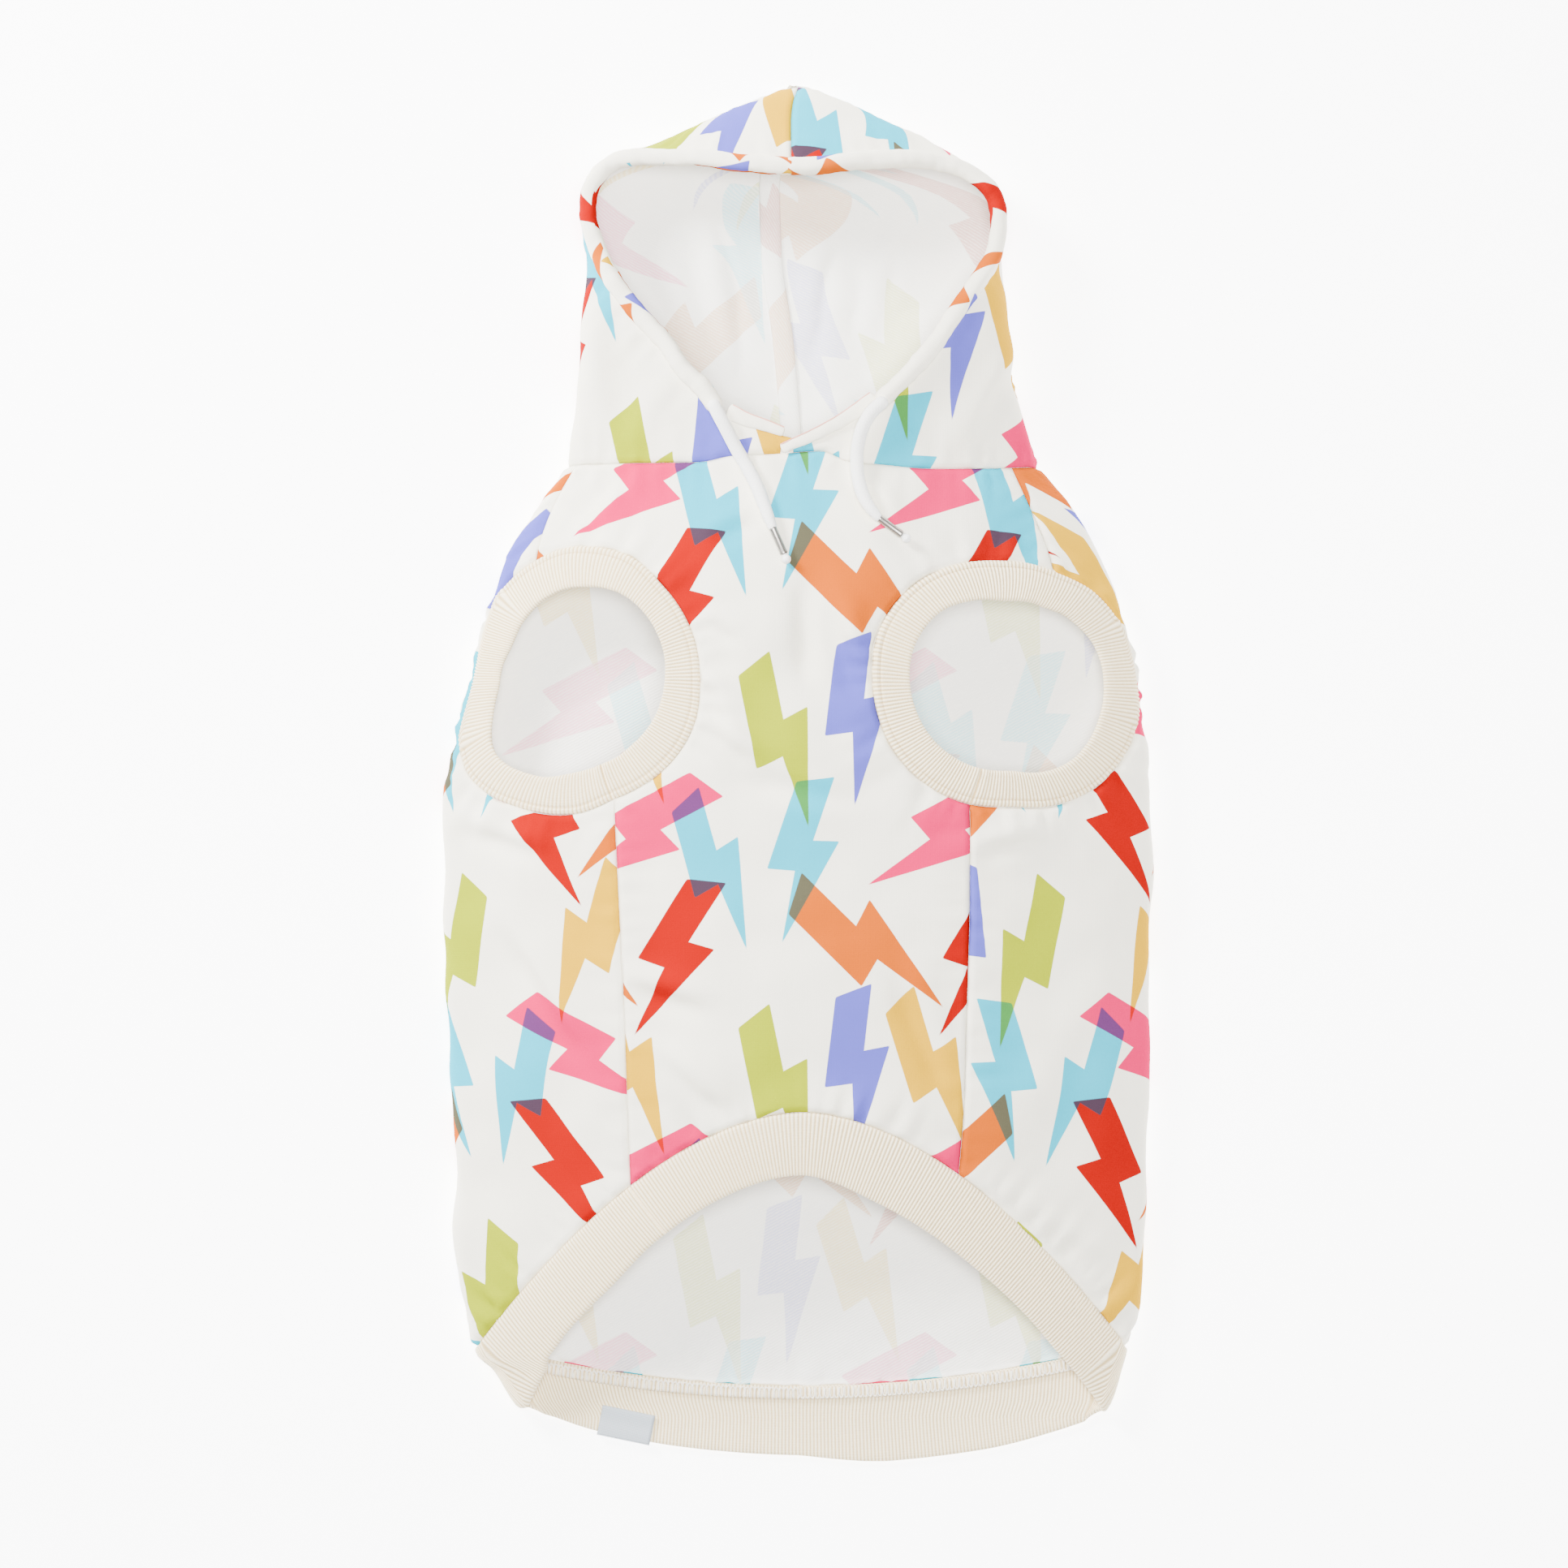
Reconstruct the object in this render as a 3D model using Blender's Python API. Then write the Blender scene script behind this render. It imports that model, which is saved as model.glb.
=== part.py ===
"""Dog hoodie of soft printed jersey, lying on its back with the belly up.

The garment is one soft tube. A table of sections gives its width, height and fold along
its length, and every cloth piece is cut out of that tube with a small gap at its seams.
Plus Y points to the peak of the hood, plus Z up from the back to the belly. Metres.
A place on the tube is (around, along). Around is 0 on the belly's middle line, 1 where
the side fold begins, 2 where the back lies flat and 3 on the back's middle line, and it
is negative on the wearer's side with minus X. Along is the height on Y.
"""
import bmesh
import bpy
import numpy as np
from mathutils import Matrix, Vector
from mathutils.geometry import delaunay_2d_cdt

# Driving sizes
GARMENT_LENGTH = 0.514
GARMENT_WIDTH = 0.264
LOFT = 0.050
CLOTH = 0.0015
RIB_KNIT = 0.0026
HEM_RIB_WIDTH = 0.026
LEG_RIB_WIDTH = 0.0145
LEG_RIB_LIFT = 0.0014
LEG_OUTLINE_GAP = 0.0012
CASING_DIAMETER = 0.0066
CASING_LIFT = 0.0026
CASING_LIFT_RUN = 0.040
FRONT_BAND_DIAMETER = 0.0040
CORD_DIAMETER = 0.0050
AGLET_DIAMETER = 0.0029
AGLET_LENGTH = 0.0104
TIP_DIAMETER = 0.0034
LABEL_WIDTH = 0.0200
LABEL_HEIGHT = 0.0105
LABEL_THICKNESS = 0.0006
SEAM_GAP = 0.0005
CLEARANCE = 0.0005

# Facet sizes
BODY_ROW = 0.015
HOOD_ROW = 0.012
PEAK_ROW = 0.006
EDGE_STEP = 0.008
RIM_STEP = 0.0065
LEG_COLUMNS = 44
RIB_ROWS = 3
# Shares of GARMENT_LENGTH at which the rows of each panel's grid start and stop
BELLY_ROWS = (-0.30, 0.24)
BACK_ROWS = (-0.45, 0.24)
PEAK_FROM = 0.42
# The grid keeps this share of a row away from a panel's edge
GRID_MARGIN = 0.5
# Largest fold radius as a share of a section's height
FOLD_LIMIT = 0.46
# Steps in which a seam's crossing with another line is found
SOLVE_STEPS = 80
# Step along a cord's smooth route before its points are read from it
CORD_READ_STEP = 0.0005

# Sections from the hem to the hood's peak. Along is a share of GARMENT_LENGTH from the
# middle, left and right are shares of GARMENT_WIDTH, height and fold radius are shares of
# LOFT, and lean stretches the fold sideways where the outline runs slantwise.
SECTION_NAMES = ("along", "left", "right", "height", "fold", "lean")
SECTIONS = (
    (-0.501, 0.376, 0.424, 0.50, 0.108, 1.0),
    (-0.469, 0.378, 0.426, 0.52, 0.108, 1.0),
    (-0.456, 0.398, 0.440, 0.55, 0.110, 1.0),
    (-0.429, 0.431, 0.456, 0.62, 0.116, 1.0),
    (-0.419, 0.454, 0.463, 0.64, 0.120, 1.0),
    (-0.379, 0.473, 0.481, 0.72, 0.124, 1.0),
    (-0.290, 0.485, 0.494, 0.84, 0.130, 1.0),
    (-0.202, 0.495, 0.500, 0.92, 0.140, 1.0),
    (-0.086, 0.500, 0.500, 0.98, 0.140, 1.0),
    (-0.016, 0.497, 0.498, 1.00, 0.140, 1.0),
    (0.030, 0.482, 0.490, 1.00, 0.140, 1.0),
    (0.065, 0.464, 0.483, 1.00, 0.140, 1.0),
    (0.102, 0.449, 0.467, 1.00, 0.140, 1.0),
    (0.129, 0.431, 0.450, 0.98, 0.140, 1.0),
    (0.160, 0.413, 0.421, 0.94, 0.144, 1.0),
    (0.197, 0.363, 0.379, 0.87, 0.152, 1.0),
    (0.226, 0.324, 0.335, 0.82, 0.180, 1.0),
    (0.255, 0.313, 0.320, 0.84, 0.240, 1.0),
    (0.286, 0.308, 0.307, 0.86, 0.290, 1.0),
    (0.331, 0.301, 0.290, 0.88, 0.340, 1.0),
    (0.367, 0.295, 0.284, 0.88, 0.360, 1.0),
    (0.399, 0.305, 0.292, 0.84, 0.350, 1.0),
    (0.419, 0.302, 0.282, 0.80, 0.330, 1.0),
    (0.427, 0.298, 0.270, 0.78, 0.320, 1.1),
    (0.433, 0.292, 0.256, 0.76, 0.310, 1.25),
    (0.440, 0.280, 0.237, 0.73, 0.290, 1.5),
    (0.446, 0.262, 0.218, 0.69, 0.270, 1.8),
    (0.452, 0.216, 0.198, 0.64, 0.250, 2.1),
    (0.459, 0.184, 0.173, 0.56, 0.220, 2.3),
    (0.469, 0.146, 0.136, 0.46, 0.180, 2.4),
    (0.478, 0.112, 0.104, 0.36, 0.140, 2.4),
    (0.490, 0.060, 0.059, 0.22, 0.084, 2.2),
    (0.495, 0.036, 0.037, 0.15, 0.060, 2.0),
    (0.500, 0.016, 0.018, 0.084, 0.036, 1.7),
)

# Soft folds in the upper cloth. Across and width are shares of GARMENT_WIDTH, along and
# reach shares of GARMENT_LENGTH, rise a share of LOFT, and turn is in degrees from plus X.
CREASE_NAMES = ("across", "along", "turn", "reach", "width", "rise")
CREASES = (
    (0.080, 0.094, -70, 0.040, 0.026, 0.050),
    (0.030, 0.098, -85, 0.045, 0.026, -0.045),
    (-0.105, 0.060, -42, 0.026, 0.020, 0.040),
    (-0.095, 0.024, -22, 0.026, 0.018, 0.036),
    (-0.010, -0.002, -8, 0.060, 0.022, -0.040),
    (-0.343, -0.150, -56, 0.060, 0.028, 0.050),
    (-0.410, -0.040, -18, 0.040, 0.028, 0.050),
    (-0.150, -0.214, -45, 0.040, 0.034, 0.060),
    (-0.190, -0.148, -14, 0.030, 0.024, 0.036),
    (0.280, -0.046, 12, 0.036, 0.026, 0.044),
    (0.360, -0.200, 60, 0.050, 0.030, 0.030),
    (-0.205, 0.262, 62, 0.040, 0.030, 0.036),
    (0.215, 0.262, -62, 0.040, 0.030, 0.036),
    (0.090, 0.176, -50, 0.036, 0.026, 0.040),
)

# Seam lines as (along, across) shares, from the hem towards the peak
SHOULDER_LEFT = ((0.140, -0.372), (0.164, -0.366), (0.175, -0.360), (0.195, -0.345), (0.223, -0.315))
SHOULDER_RIGHT = ((0.140, 0.362), (0.166, 0.348), (0.183, 0.334), (0.204, 0.316), (0.223, 0.299))
BELLY_SEAM_LEFT = ((-0.293, -0.234), (-0.249, -0.237), (-0.173, -0.242), (-0.086, -0.250), (-0.010, -0.257))
BELLY_SEAM_RIGHT = ((-0.287, 0.223), (-0.232, 0.231), (-0.173, 0.234), (-0.086, 0.238), (-0.010, 0.238))
HOOD_BACK_SEAM = (
    (0.220, 0.001), (0.264, -0.004), (0.320, -0.014), (0.376, -0.029), (0.427, -0.032),
    (0.460, -0.022), (0.478, -0.012), (0.495, -0.003), (0.500, 0.000),
)
HOOD_TOP_SEAM = ((0.420, -0.008), (0.446, -0.010), (0.470, -0.010), (0.487, -0.007), (0.500, 0.000))
NECK_SEAM = (
    (-0.330, 0.223), (-0.140, 0.222), (-0.091, 0.226), (-0.036, 0.227), (0.032, 0.229),
    (0.071, 0.222), (0.120, 0.220), (0.178, 0.218), (0.251, 0.219), (0.340, 0.222),
)

# The hem's upper edge rises to an arch on the belly and sags on the back
HEM_ARCH_TOP = -0.240
HEM_ARCH_DROP = 0.175
HEM_ARCH_POWER = 1.8
HEM_ARCH_MIDDLE = 0.005
HEM_ARCH_SPAN = 0.460
HEM_BACK_SAG = 0.030
# Depth of the hem rib at places around the garment, as shares of HEM_RIB_WIDTH
HEM_DEPTH = (
    (-3.0, 1.00), (-2.25, 0.96), (-2.0, 0.94), (-1.5, 0.82), (-1.0, 0.96), (-0.90, 1.02),
    (-0.75, 1.17), (-0.58, 1.17), (-0.42, 1.03), (-0.24, 0.95), (0.0, 0.89), (0.24, 1.05),
    (0.55, 1.11), (0.77, 1.08), (0.93, 0.97), (1.5, 0.92), (2.0, 1.05), (2.36, 1.13),
    (2.66, 1.13), (3.0, 1.00),
)

# Leg openings: degrees round the opening, then the seam's radius as a share of
# GARMENT_WIDTH and the rib's width as a share of LEG_RIB_WIDTH
LEG_NAMES = ("turn", "radius", "band")
LEG_LEFT_CENTRE = (-0.313, 0.067)
LEG_LEFT = (
    (0, 0.177, 0.90), (22, 0.178, 0.84), (45, 0.180, 0.83), (68, 0.189, 1.00),
    (90, 0.187, 1.07), (112, 0.176, 1.02), (135, 0.164, 1.00), (158, 0.150, 0.86),
    (180, 0.150, 0.78), (202, 0.180, 0.98), (225, 0.203, 0.92), (248, 0.194, 0.92),
    (270, 0.187, 1.06), (292, 0.175, 0.94), (315, 0.178, 1.02), (338, 0.180, 1.00),
)
LEG_RIGHT_CENTRE = (0.292, 0.063)
LEG_RIGHT = (
    (0, 0.190, 0.94), (22, 0.187, 0.90), (45, 0.183, 0.98), (68, 0.174, 0.98),
    (90, 0.174, 1.04), (112, 0.182, 1.02), (135, 0.192, 0.98), (158, 0.196, 1.00),
    (180, 0.190, 0.96), (202, 0.186, 0.98), (225, 0.181, 0.98), (248, 0.175, 0.96),
    (270, 0.169, 0.92), (292, 0.180, 0.92), (315, 0.191, 0.96), (338, 0.195, 1.02),
)
SHOULDER_TURN = {-1: 108.0, 1: 69.0}
BELLY_TURN = {-1: 289.0, 1: 252.0}

# Hood edge and throat as (across, along) shares of the two main sizes
RIM_LEFT = (
    (-0.116, 0.263), (-0.133, 0.275), (-0.156, 0.286), (-0.182, 0.305), (-0.204, 0.317),
    (-0.236, 0.336), (-0.272, 0.363), (-0.289, 0.385), (-0.296, 0.402), (-0.294, 0.417),
    (-0.281, 0.430), (-0.257, 0.440), (-0.226, 0.443), (-0.185, 0.442), (-0.133, 0.440),
    (-0.083, 0.436), (-0.010, 0.433),
)
RIM_RIGHT = (
    (0.117, 0.267), (0.155, 0.286), (0.186, 0.304), (0.220, 0.329), (0.250, 0.351),
    (0.274, 0.370), (0.281, 0.383), (0.282, 0.400), (0.277, 0.412), (0.260, 0.424),
    (0.230, 0.434), (0.195, 0.439), (0.158, 0.440), (0.112, 0.439), (0.063, 0.436),
    (0.022, 0.433), (-0.010, 0.433),
)
FRONT_BAND_LEFT = ((-0.094, 0.257), (-0.074, 0.252), (-0.044, 0.247), (-0.022, 0.243))
FRONT_BAND_RIGHT = ((0.103, 0.266), (0.057, 0.250), (0.019, 0.240), (-0.008, 0.234), (-0.021, 0.231))

# Drawcord ends as (across, along, lift) from the casing to the far end of the metal aglet.
# Lift is in shares of CORD_DIAMETER above the cloth.
CORD_LEFT = (
    (-0.1135, 0.2615, 0.26), (-0.106, 0.254, 0.28), (-0.099, 0.247, 0.22), (-0.086, 0.233, 0.06),
    (-0.069, 0.216, 0.0), (-0.055, 0.201, 0.0), (-0.045, 0.187, 0.0), (-0.036, 0.174, 0.0),
    (-0.020, 0.155, 0.0),
)
CORD_RIGHT = (
    (0.1120, 0.2635, 0.26), (0.101, 0.2585, 0.30), (0.087, 0.247, 0.24), (0.080, 0.232, 0.06),
    (0.079, 0.218, 0.0), (0.083, 0.201, 0.0), (0.092, 0.189, 0.0), (0.107, 0.179, 0.0),
    (0.139, 0.169, 0.0),
)
LABEL_ACROSS = -0.247

# Colours, with roughness and metallic value
MATERIALS = {
    "jersey": ((0.90, 0.89, 0.85, 1.0), 0.85, 0.0),
    "rib": ((0.90, 0.86, 0.78, 1.0), 0.90, 0.0),
    "cord": ((0.92, 0.92, 0.91, 1.0), 0.75, 0.0),
    "aglet": ((0.62, 0.61, 0.60, 1.0), 0.35, 0.9),
    "tip": ((0.93, 0.93, 0.92, 1.0), 0.40, 0.0),
    "label": ((0.86, 0.87, 0.88, 1.0), 0.80, 0.0),
}

TOP_STEPS = np.linspace(0.0, 1.0, 9)
FOLD_STEPS = np.linspace(1.0, 2.0, 6)
FLOOR_STEPS = np.linspace(2.0, 3.0, 9)
AROUND_STEPS = np.unique(np.concatenate([TOP_STEPS, FOLD_STEPS, FLOOR_STEPS]))
HEM_STEPS = np.unique(np.concatenate([np.linspace(0, 1, 13), np.linspace(1, 2, 8), np.linspace(2, 3, 10)]))
INNER_STEPS = np.concatenate([TOP_STEPS, FOLD_STEPS[1:], (2.5, 2.9)])
# Widths of crown, fold and floor in the plane where the cloth is cut into triangles
CUT_SPANS = np.array((0.44, 0.08, 0.44)) * GARMENT_WIDTH


def smooth_curve(keys, values):
    """A curve through the rows that never swings past them."""
    keys = np.array(keys, float)
    values = np.array(values, float)
    step = np.diff(keys)
    slope = np.diff(values) / step
    tangent = np.concatenate([slope[:1], np.zeros(len(keys) - 2), slope[-1:]])
    for i in range(1, len(keys) - 1):
        if slope[i - 1] * slope[i] > 0:
            before = 2 * step[i] + step[i - 1]
            after = step[i] + 2 * step[i - 1]
            tangent[i] = (before + after) / (before / slope[i - 1] + after / slope[i])

    def read(at):
        at = np.clip(at, keys[0], keys[-1])
        i = np.clip(np.searchsorted(keys, at, side="right") - 1, 0, len(step) - 1)
        t = (at - keys[i]) / step[i]
        low = (1 + 2 * t) * (1 - t) ** 2 * values[i] + t * (1 - t) ** 2 * step[i] * tangent[i]
        high = t * t * (3 - 2 * t) * values[i + 1] + t * t * (t - 1) * step[i] * tangent[i + 1]
        return low + high

    return read


def table_curves(table, names, key_size, sizes):
    """One smooth curve for each column of a table, with its shares turned into lengths."""
    columns = np.array(table, float).T
    keys = columns[0] * key_size
    return {name: smooth_curve(keys, columns[i + 1] * sizes[i]) for i, name in enumerate(names[1:])}


def seam_curve(rows):
    """Where a seam lies across the garment, for each height along it."""
    along, across = np.array(rows, float).T
    return smooth_curve(along * GARMENT_LENGTH, across * GARMENT_WIDTH)


def ring_curve(rows, names, column, size):
    """A smooth curve round a leg opening that closes on itself."""
    turn = [row[0] for row in rows]
    values = [row[names.index(column)] * size for row in rows]
    turn = [turn[-2] - 360, turn[-1] - 360] + turn + [turn[0] + 360, turn[1] + 360]
    values = values[-2:] + values + values[:2]
    return smooth_curve(turn, values)


SECTION = table_curves(SECTIONS, SECTION_NAMES, GARMENT_LENGTH,
                       (GARMENT_WIDTH, GARMENT_WIDTH, LOFT, LOFT, 1.0))
SHOULDER = {-1: seam_curve(SHOULDER_LEFT), 1: seam_curve(SHOULDER_RIGHT)}
BELLY_SEAM = {-1: seam_curve(BELLY_SEAM_LEFT), 1: seam_curve(BELLY_SEAM_RIGHT)}
BACK_SEAM = seam_curve(HOOD_BACK_SEAM)
TOP_SEAM = seam_curve(HOOD_TOP_SEAM)
NECK = smooth_curve([row[0] * GARMENT_WIDTH for row in NECK_SEAM],
                    [row[1] * GARMENT_LENGTH for row in NECK_SEAM])
LEG_CENTRE = {-1: LEG_LEFT_CENTRE, 1: LEG_RIGHT_CENTRE}
LEG_RADIUS = {-1: ring_curve(LEG_LEFT, LEG_NAMES, "radius", GARMENT_WIDTH),
              1: ring_curve(LEG_RIGHT, LEG_NAMES, "radius", GARMENT_WIDTH)}
LEG_BAND = {-1: ring_curve(LEG_LEFT, LEG_NAMES, "band", LEG_RIB_WIDTH),
            1: ring_curve(LEG_RIGHT, LEG_NAMES, "band", LEG_RIB_WIDTH)}
RIB_DEPTH = smooth_curve([row[0] for row in HEM_DEPTH], [row[1] * HEM_RIB_WIDTH for row in HEM_DEPTH])


def section_at(side, along, inset):
    """Crown circle, fold circle and flat half width of one half of a section."""
    half = np.where(side < 0, SECTION["left"](along), SECTION["right"](along))
    lean = SECTION["lean"](along)
    height = SECTION["height"](along) - 2 * inset
    fold = np.minimum(SECTION["fold"](along) - inset, FOLD_LIMIT * height)
    flat = half / lean - inset - fold
    crown = (flat ** 2 + (height - fold) ** 2 - fold ** 2) / (2 * (height - 2 * fold))
    turn = np.arcsin(np.clip(flat / (crown - fold), 0.0, 1.0))
    return lean, height, fold, flat, crown, turn


def crease_height(x, y):
    """Rise of the soft folds above the smooth tube."""
    rise = np.zeros(np.broadcast(x, y).shape)
    for row in CREASES:
        crease = dict(zip(CREASE_NAMES, row))
        angle = np.radians(crease["turn"])
        dx = x - crease["across"] * GARMENT_WIDTH
        dy = y - crease["along"] * GARMENT_LENGTH
        run = (dx * np.cos(angle) + dy * np.sin(angle)) / (crease["reach"] * GARMENT_LENGTH)
        side = (dy * np.cos(angle) - dx * np.sin(angle)) / (crease["width"] * GARMENT_WIDTH)
        rise = rise + crease["rise"] * LOFT * np.exp(-run ** 2 - side ** 2)
    return rise


def place(around, along, inset=0.0):
    """Points in space for places on the tube, or on its inner face at an inset."""
    around = np.asarray(around, float)
    along = np.asarray(along, float)
    side = np.where(around < 0, -1.0, 1.0)
    part = np.abs(around)
    lean, height, fold, flat, crown, turn = section_at(side, along, inset)
    on_crown = part * turn
    on_fold = turn + (part - 1) * (np.pi - turn)
    x = np.where(part <= 1, crown * np.sin(on_crown), flat + fold * np.sin(on_fold))
    x = np.where(part <= 2, x, flat * (3 - part)) * side * lean
    z = np.where(part <= 1, height - crown + crown * np.cos(on_crown), fold + fold * np.cos(on_fold))
    z = np.where(part <= 2, z, 0.0)
    fade = np.clip((1.3 - part) / 0.5, 0.0, 1.0)
    z = z + inset + crease_height(x, along) * fade * fade * (3 - 2 * fade)
    return np.stack([x, along + 0.0 * x, z], axis=-1)


def on_top(x, along):
    """Place on the upper side of the tube that lies straight above a point."""
    side = np.where(x < 0, -1.0, 1.0)
    lean, height, fold, flat, crown, turn = section_at(side, along, 0.0)
    across = np.abs(x) / lean
    on_crown = np.arcsin(np.clip(across / crown, 0.0, 1.0)) / turn
    on_fold = 1 + (np.arcsin(np.clip((across - flat) / fold, 0.0, 1.0)) - turn) / (np.pi - turn)
    return side * np.where(on_crown <= 1, on_crown, on_fold)


def on_back(x, along, side):
    """Place on the flat back, counted from the given side, also a little past its middle."""
    lean, height, fold, flat, crown, turn = section_at(side, along, 0.0)
    return side * (3 - side * x / (lean * flat))


def upper_half(around, along):
    """True for places above the outermost line of the side fold."""
    turn = section_at(np.sign(around), along, 0.0)[-1]
    return np.abs(around) < 1 + (np.pi / 2 - turn) / (np.pi - turn)


def neck_rule(x, upper):
    """Height along the garment of the neck seam."""
    return np.where(upper, NECK(x), NECK(np.abs(x) + GARMENT_WIDTH))


def hem_rule(x, upper):
    """Height along the garment of the seam where the hem rib begins."""
    share = np.abs(x - HEM_ARCH_MIDDLE * GARMENT_WIDTH) / (HEM_ARCH_SPAN * GARMENT_WIDTH)
    share = np.minimum(share, 1.0)
    front = HEM_ARCH_TOP - HEM_ARCH_DROP * share ** HEM_ARCH_POWER
    back = HEM_ARCH_TOP - HEM_ARCH_DROP - HEM_BACK_SAG * (1 - share ** 2)
    return np.where(upper, front, back) * GARMENT_LENGTH


def follow(around, rule, shift):
    """Places on the tube where an edge rule crosses the given lines around it."""
    around = np.asarray(around, float)
    along = rule(np.zeros(len(around)), True)
    for _ in range(SOLVE_STEPS):
        x = place(around, along)[:, 0]
        along = 0.5 * (along + rule(x, upper_half(around, along)))
    return np.stack([around, along + shift], axis=1)


def steps_between(start, stop):
    """The section lines strictly between two places around the tube, in order."""
    lines = np.concatenate([-AROUND_STEPS[::-1], AROUND_STEPS[1:]])
    low, high = sorted((start, stop))
    chosen = lines[(lines > low + 0.03) & (lines < high - 0.03)]
    return chosen if stop > start else chosen[::-1]


def smooth_path(points, step):
    """Evenly spaced points on a smooth curve through the given points."""
    points = np.array(points, float)
    knots = np.concatenate([[0.0], np.cumsum(np.linalg.norm(np.diff(points[:, :2], axis=0), axis=1))])
    slopes = np.gradient(points, knots, axis=0)
    dense = np.linspace(0.0, knots[-1], 40 * len(points))
    i = np.clip(np.searchsorted(knots, dense, side="right") - 1, 0, len(knots) - 2)
    gap = (knots[i + 1] - knots[i])[:, None]
    t = ((dense - knots[i])[:, None]) / gap
    curve = (1 + 2 * t) * (1 - t) ** 2 * points[i] + t * (1 - t) ** 2 * gap * slopes[i]
    curve += t * t * (3 - 2 * t) * points[i + 1] + t * t * (t - 1) * gap * slopes[i + 1]
    run = np.concatenate([[0.0], np.cumsum(np.linalg.norm(np.diff(curve[:, :2], axis=0), axis=1))])
    even = np.linspace(0.0, run[-1], max(3, int(round(run[-1] / step)) + 1))
    return np.stack([np.interp(even, run, column) for column in curve.T], axis=1)


def top_path(shares, step):
    """Places on the upper side along a route given in shares."""
    sizes = (GARMENT_WIDTH, GARMENT_LENGTH)
    route = smooth_path([(a * sizes[0], b * sizes[1]) for a, b in shares], step)
    return np.stack([on_top(route[:, 0], route[:, 1]), route[:, 1]], axis=1)


def surface_frame(places):
    """Directions around and along the cloth at the given places, and its outward normal."""
    nudge = 1e-3
    reach = nudge * GARMENT_LENGTH
    around, along = places[:, 0], places[:, 1]
    by_around = (place(around + nudge, along) - place(around - nudge, along)) / (2 * nudge)
    by_along = (place(around, along + reach) - place(around, along - reach)) / (2 * reach)
    normal = np.cross(by_around, by_along)
    normal /= np.linalg.norm(normal, axis=1)[:, None]
    return by_around, by_along, normal


def beside(places, distance):
    """Places beside a line on the cloth, to its left when seen from outside."""
    points = place(places[:, 0], places[:, 1])
    heading = np.gradient(points, axis=0)
    heading /= np.linalg.norm(heading, axis=1)[:, None]
    moved = places.copy()
    parts = 6
    for _ in range(parts):
        by_around, by_along, normal = surface_frame(moved)
        sideways = np.cross(normal, heading)
        sideways *= (np.broadcast_to(distance, len(places)) / parts)[:, None]
        aa = np.sum(by_around * by_around, axis=1)
        ab = np.sum(by_around * by_along, axis=1)
        bb = np.sum(by_along * by_along, axis=1)
        sa = np.sum(sideways * by_around, axis=1)
        sb = np.sum(sideways * by_along, axis=1)
        scale = aa * bb - ab * ab
        moved = moved + np.stack([(sa * bb - sb * ab) / scale, (sb * aa - sa * ab) / scale], axis=1)
    return moved


def above(places, height):
    """Points in space at a height over the cloth."""
    return place(places[:, 0], places[:, 1]) + surface_frame(places)[2] * np.reshape(height, (-1, 1))


def clear_of(places, other, distance):
    """The places that keep a distance from another line on the cloth."""
    points = place(places[:, 0], places[:, 1])
    others = place(other[:, 0], other[:, 1])
    gaps = np.linalg.norm(points[:, None] - others[None], axis=2).min(axis=1)
    return places[gaps >= distance]


def material(name):
    """Plain principled material in a piece's colour."""
    found = bpy.data.materials.get(name)
    if found:
        return found
    colour, roughness, metallic = MATERIALS[name]
    made = bpy.data.materials.new(name)
    made.use_nodes = True
    shader = made.node_tree.nodes["Principled BSDF"]
    shader.inputs["Base Color"].default_value = colour
    shader.inputs["Roughness"].default_value = roughness
    shader.inputs["Metallic"].default_value = metallic
    return made


def add_object(name, data, look):
    """Link new data to the scene under its piece's name."""
    made = bpy.data.objects.new(name, data)
    bpy.context.scene.collection.objects.link(made)
    data.materials.append(material(look))
    return made


def add_mesh(name, points, faces, look):
    """A closed, smoothly shaded mesh with its faces pointing out."""
    shape = bmesh.new()
    corners = [shape.verts.new(point) for point in points]
    for face in faces:
        shape.faces.new([corners[i] for i in face])
    bmesh.ops.recalc_face_normals(shape, faces=shape.faces)
    mesh = bpy.data.meshes.new(name)
    shape.to_mesh(mesh)
    shape.free()
    made = add_object(name, mesh, look)
    mesh.shade_smooth()
    return made


def cut_plane(places, from_back):
    """Flat coordinates in which the cloth between the section lines is cut."""
    part = np.abs(places[:, 0])
    ends = np.concatenate([[0.0], np.cumsum(CUT_SPANS)])
    run = np.interp(part, (0, 1, 2, 3), ends) + np.maximum(part - 3, 0) * CUT_SPANS[2]
    if from_back:
        run = ends[-1] - run
    return np.stack([np.sign(places[:, 0]) * run, places[:, 1]], axis=1)


def inside_outline(points, outline):
    """True for points inside a closed outline in the plane."""
    x, y = points[:, 0][:, None], points[:, 1][:, None]
    x1, y1 = outline[:, 0], outline[:, 1]
    x2, y2 = np.roll(x1, -1), np.roll(y1, -1)
    rising = (y1 <= y) != (y2 <= y)
    height = np.where(y2 == y1, 1.0, y2 - y1)
    cross = x1 + (y - y1) / height * (x2 - x1)
    return np.sum(rising & (x < cross), axis=1) % 2 == 1


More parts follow.
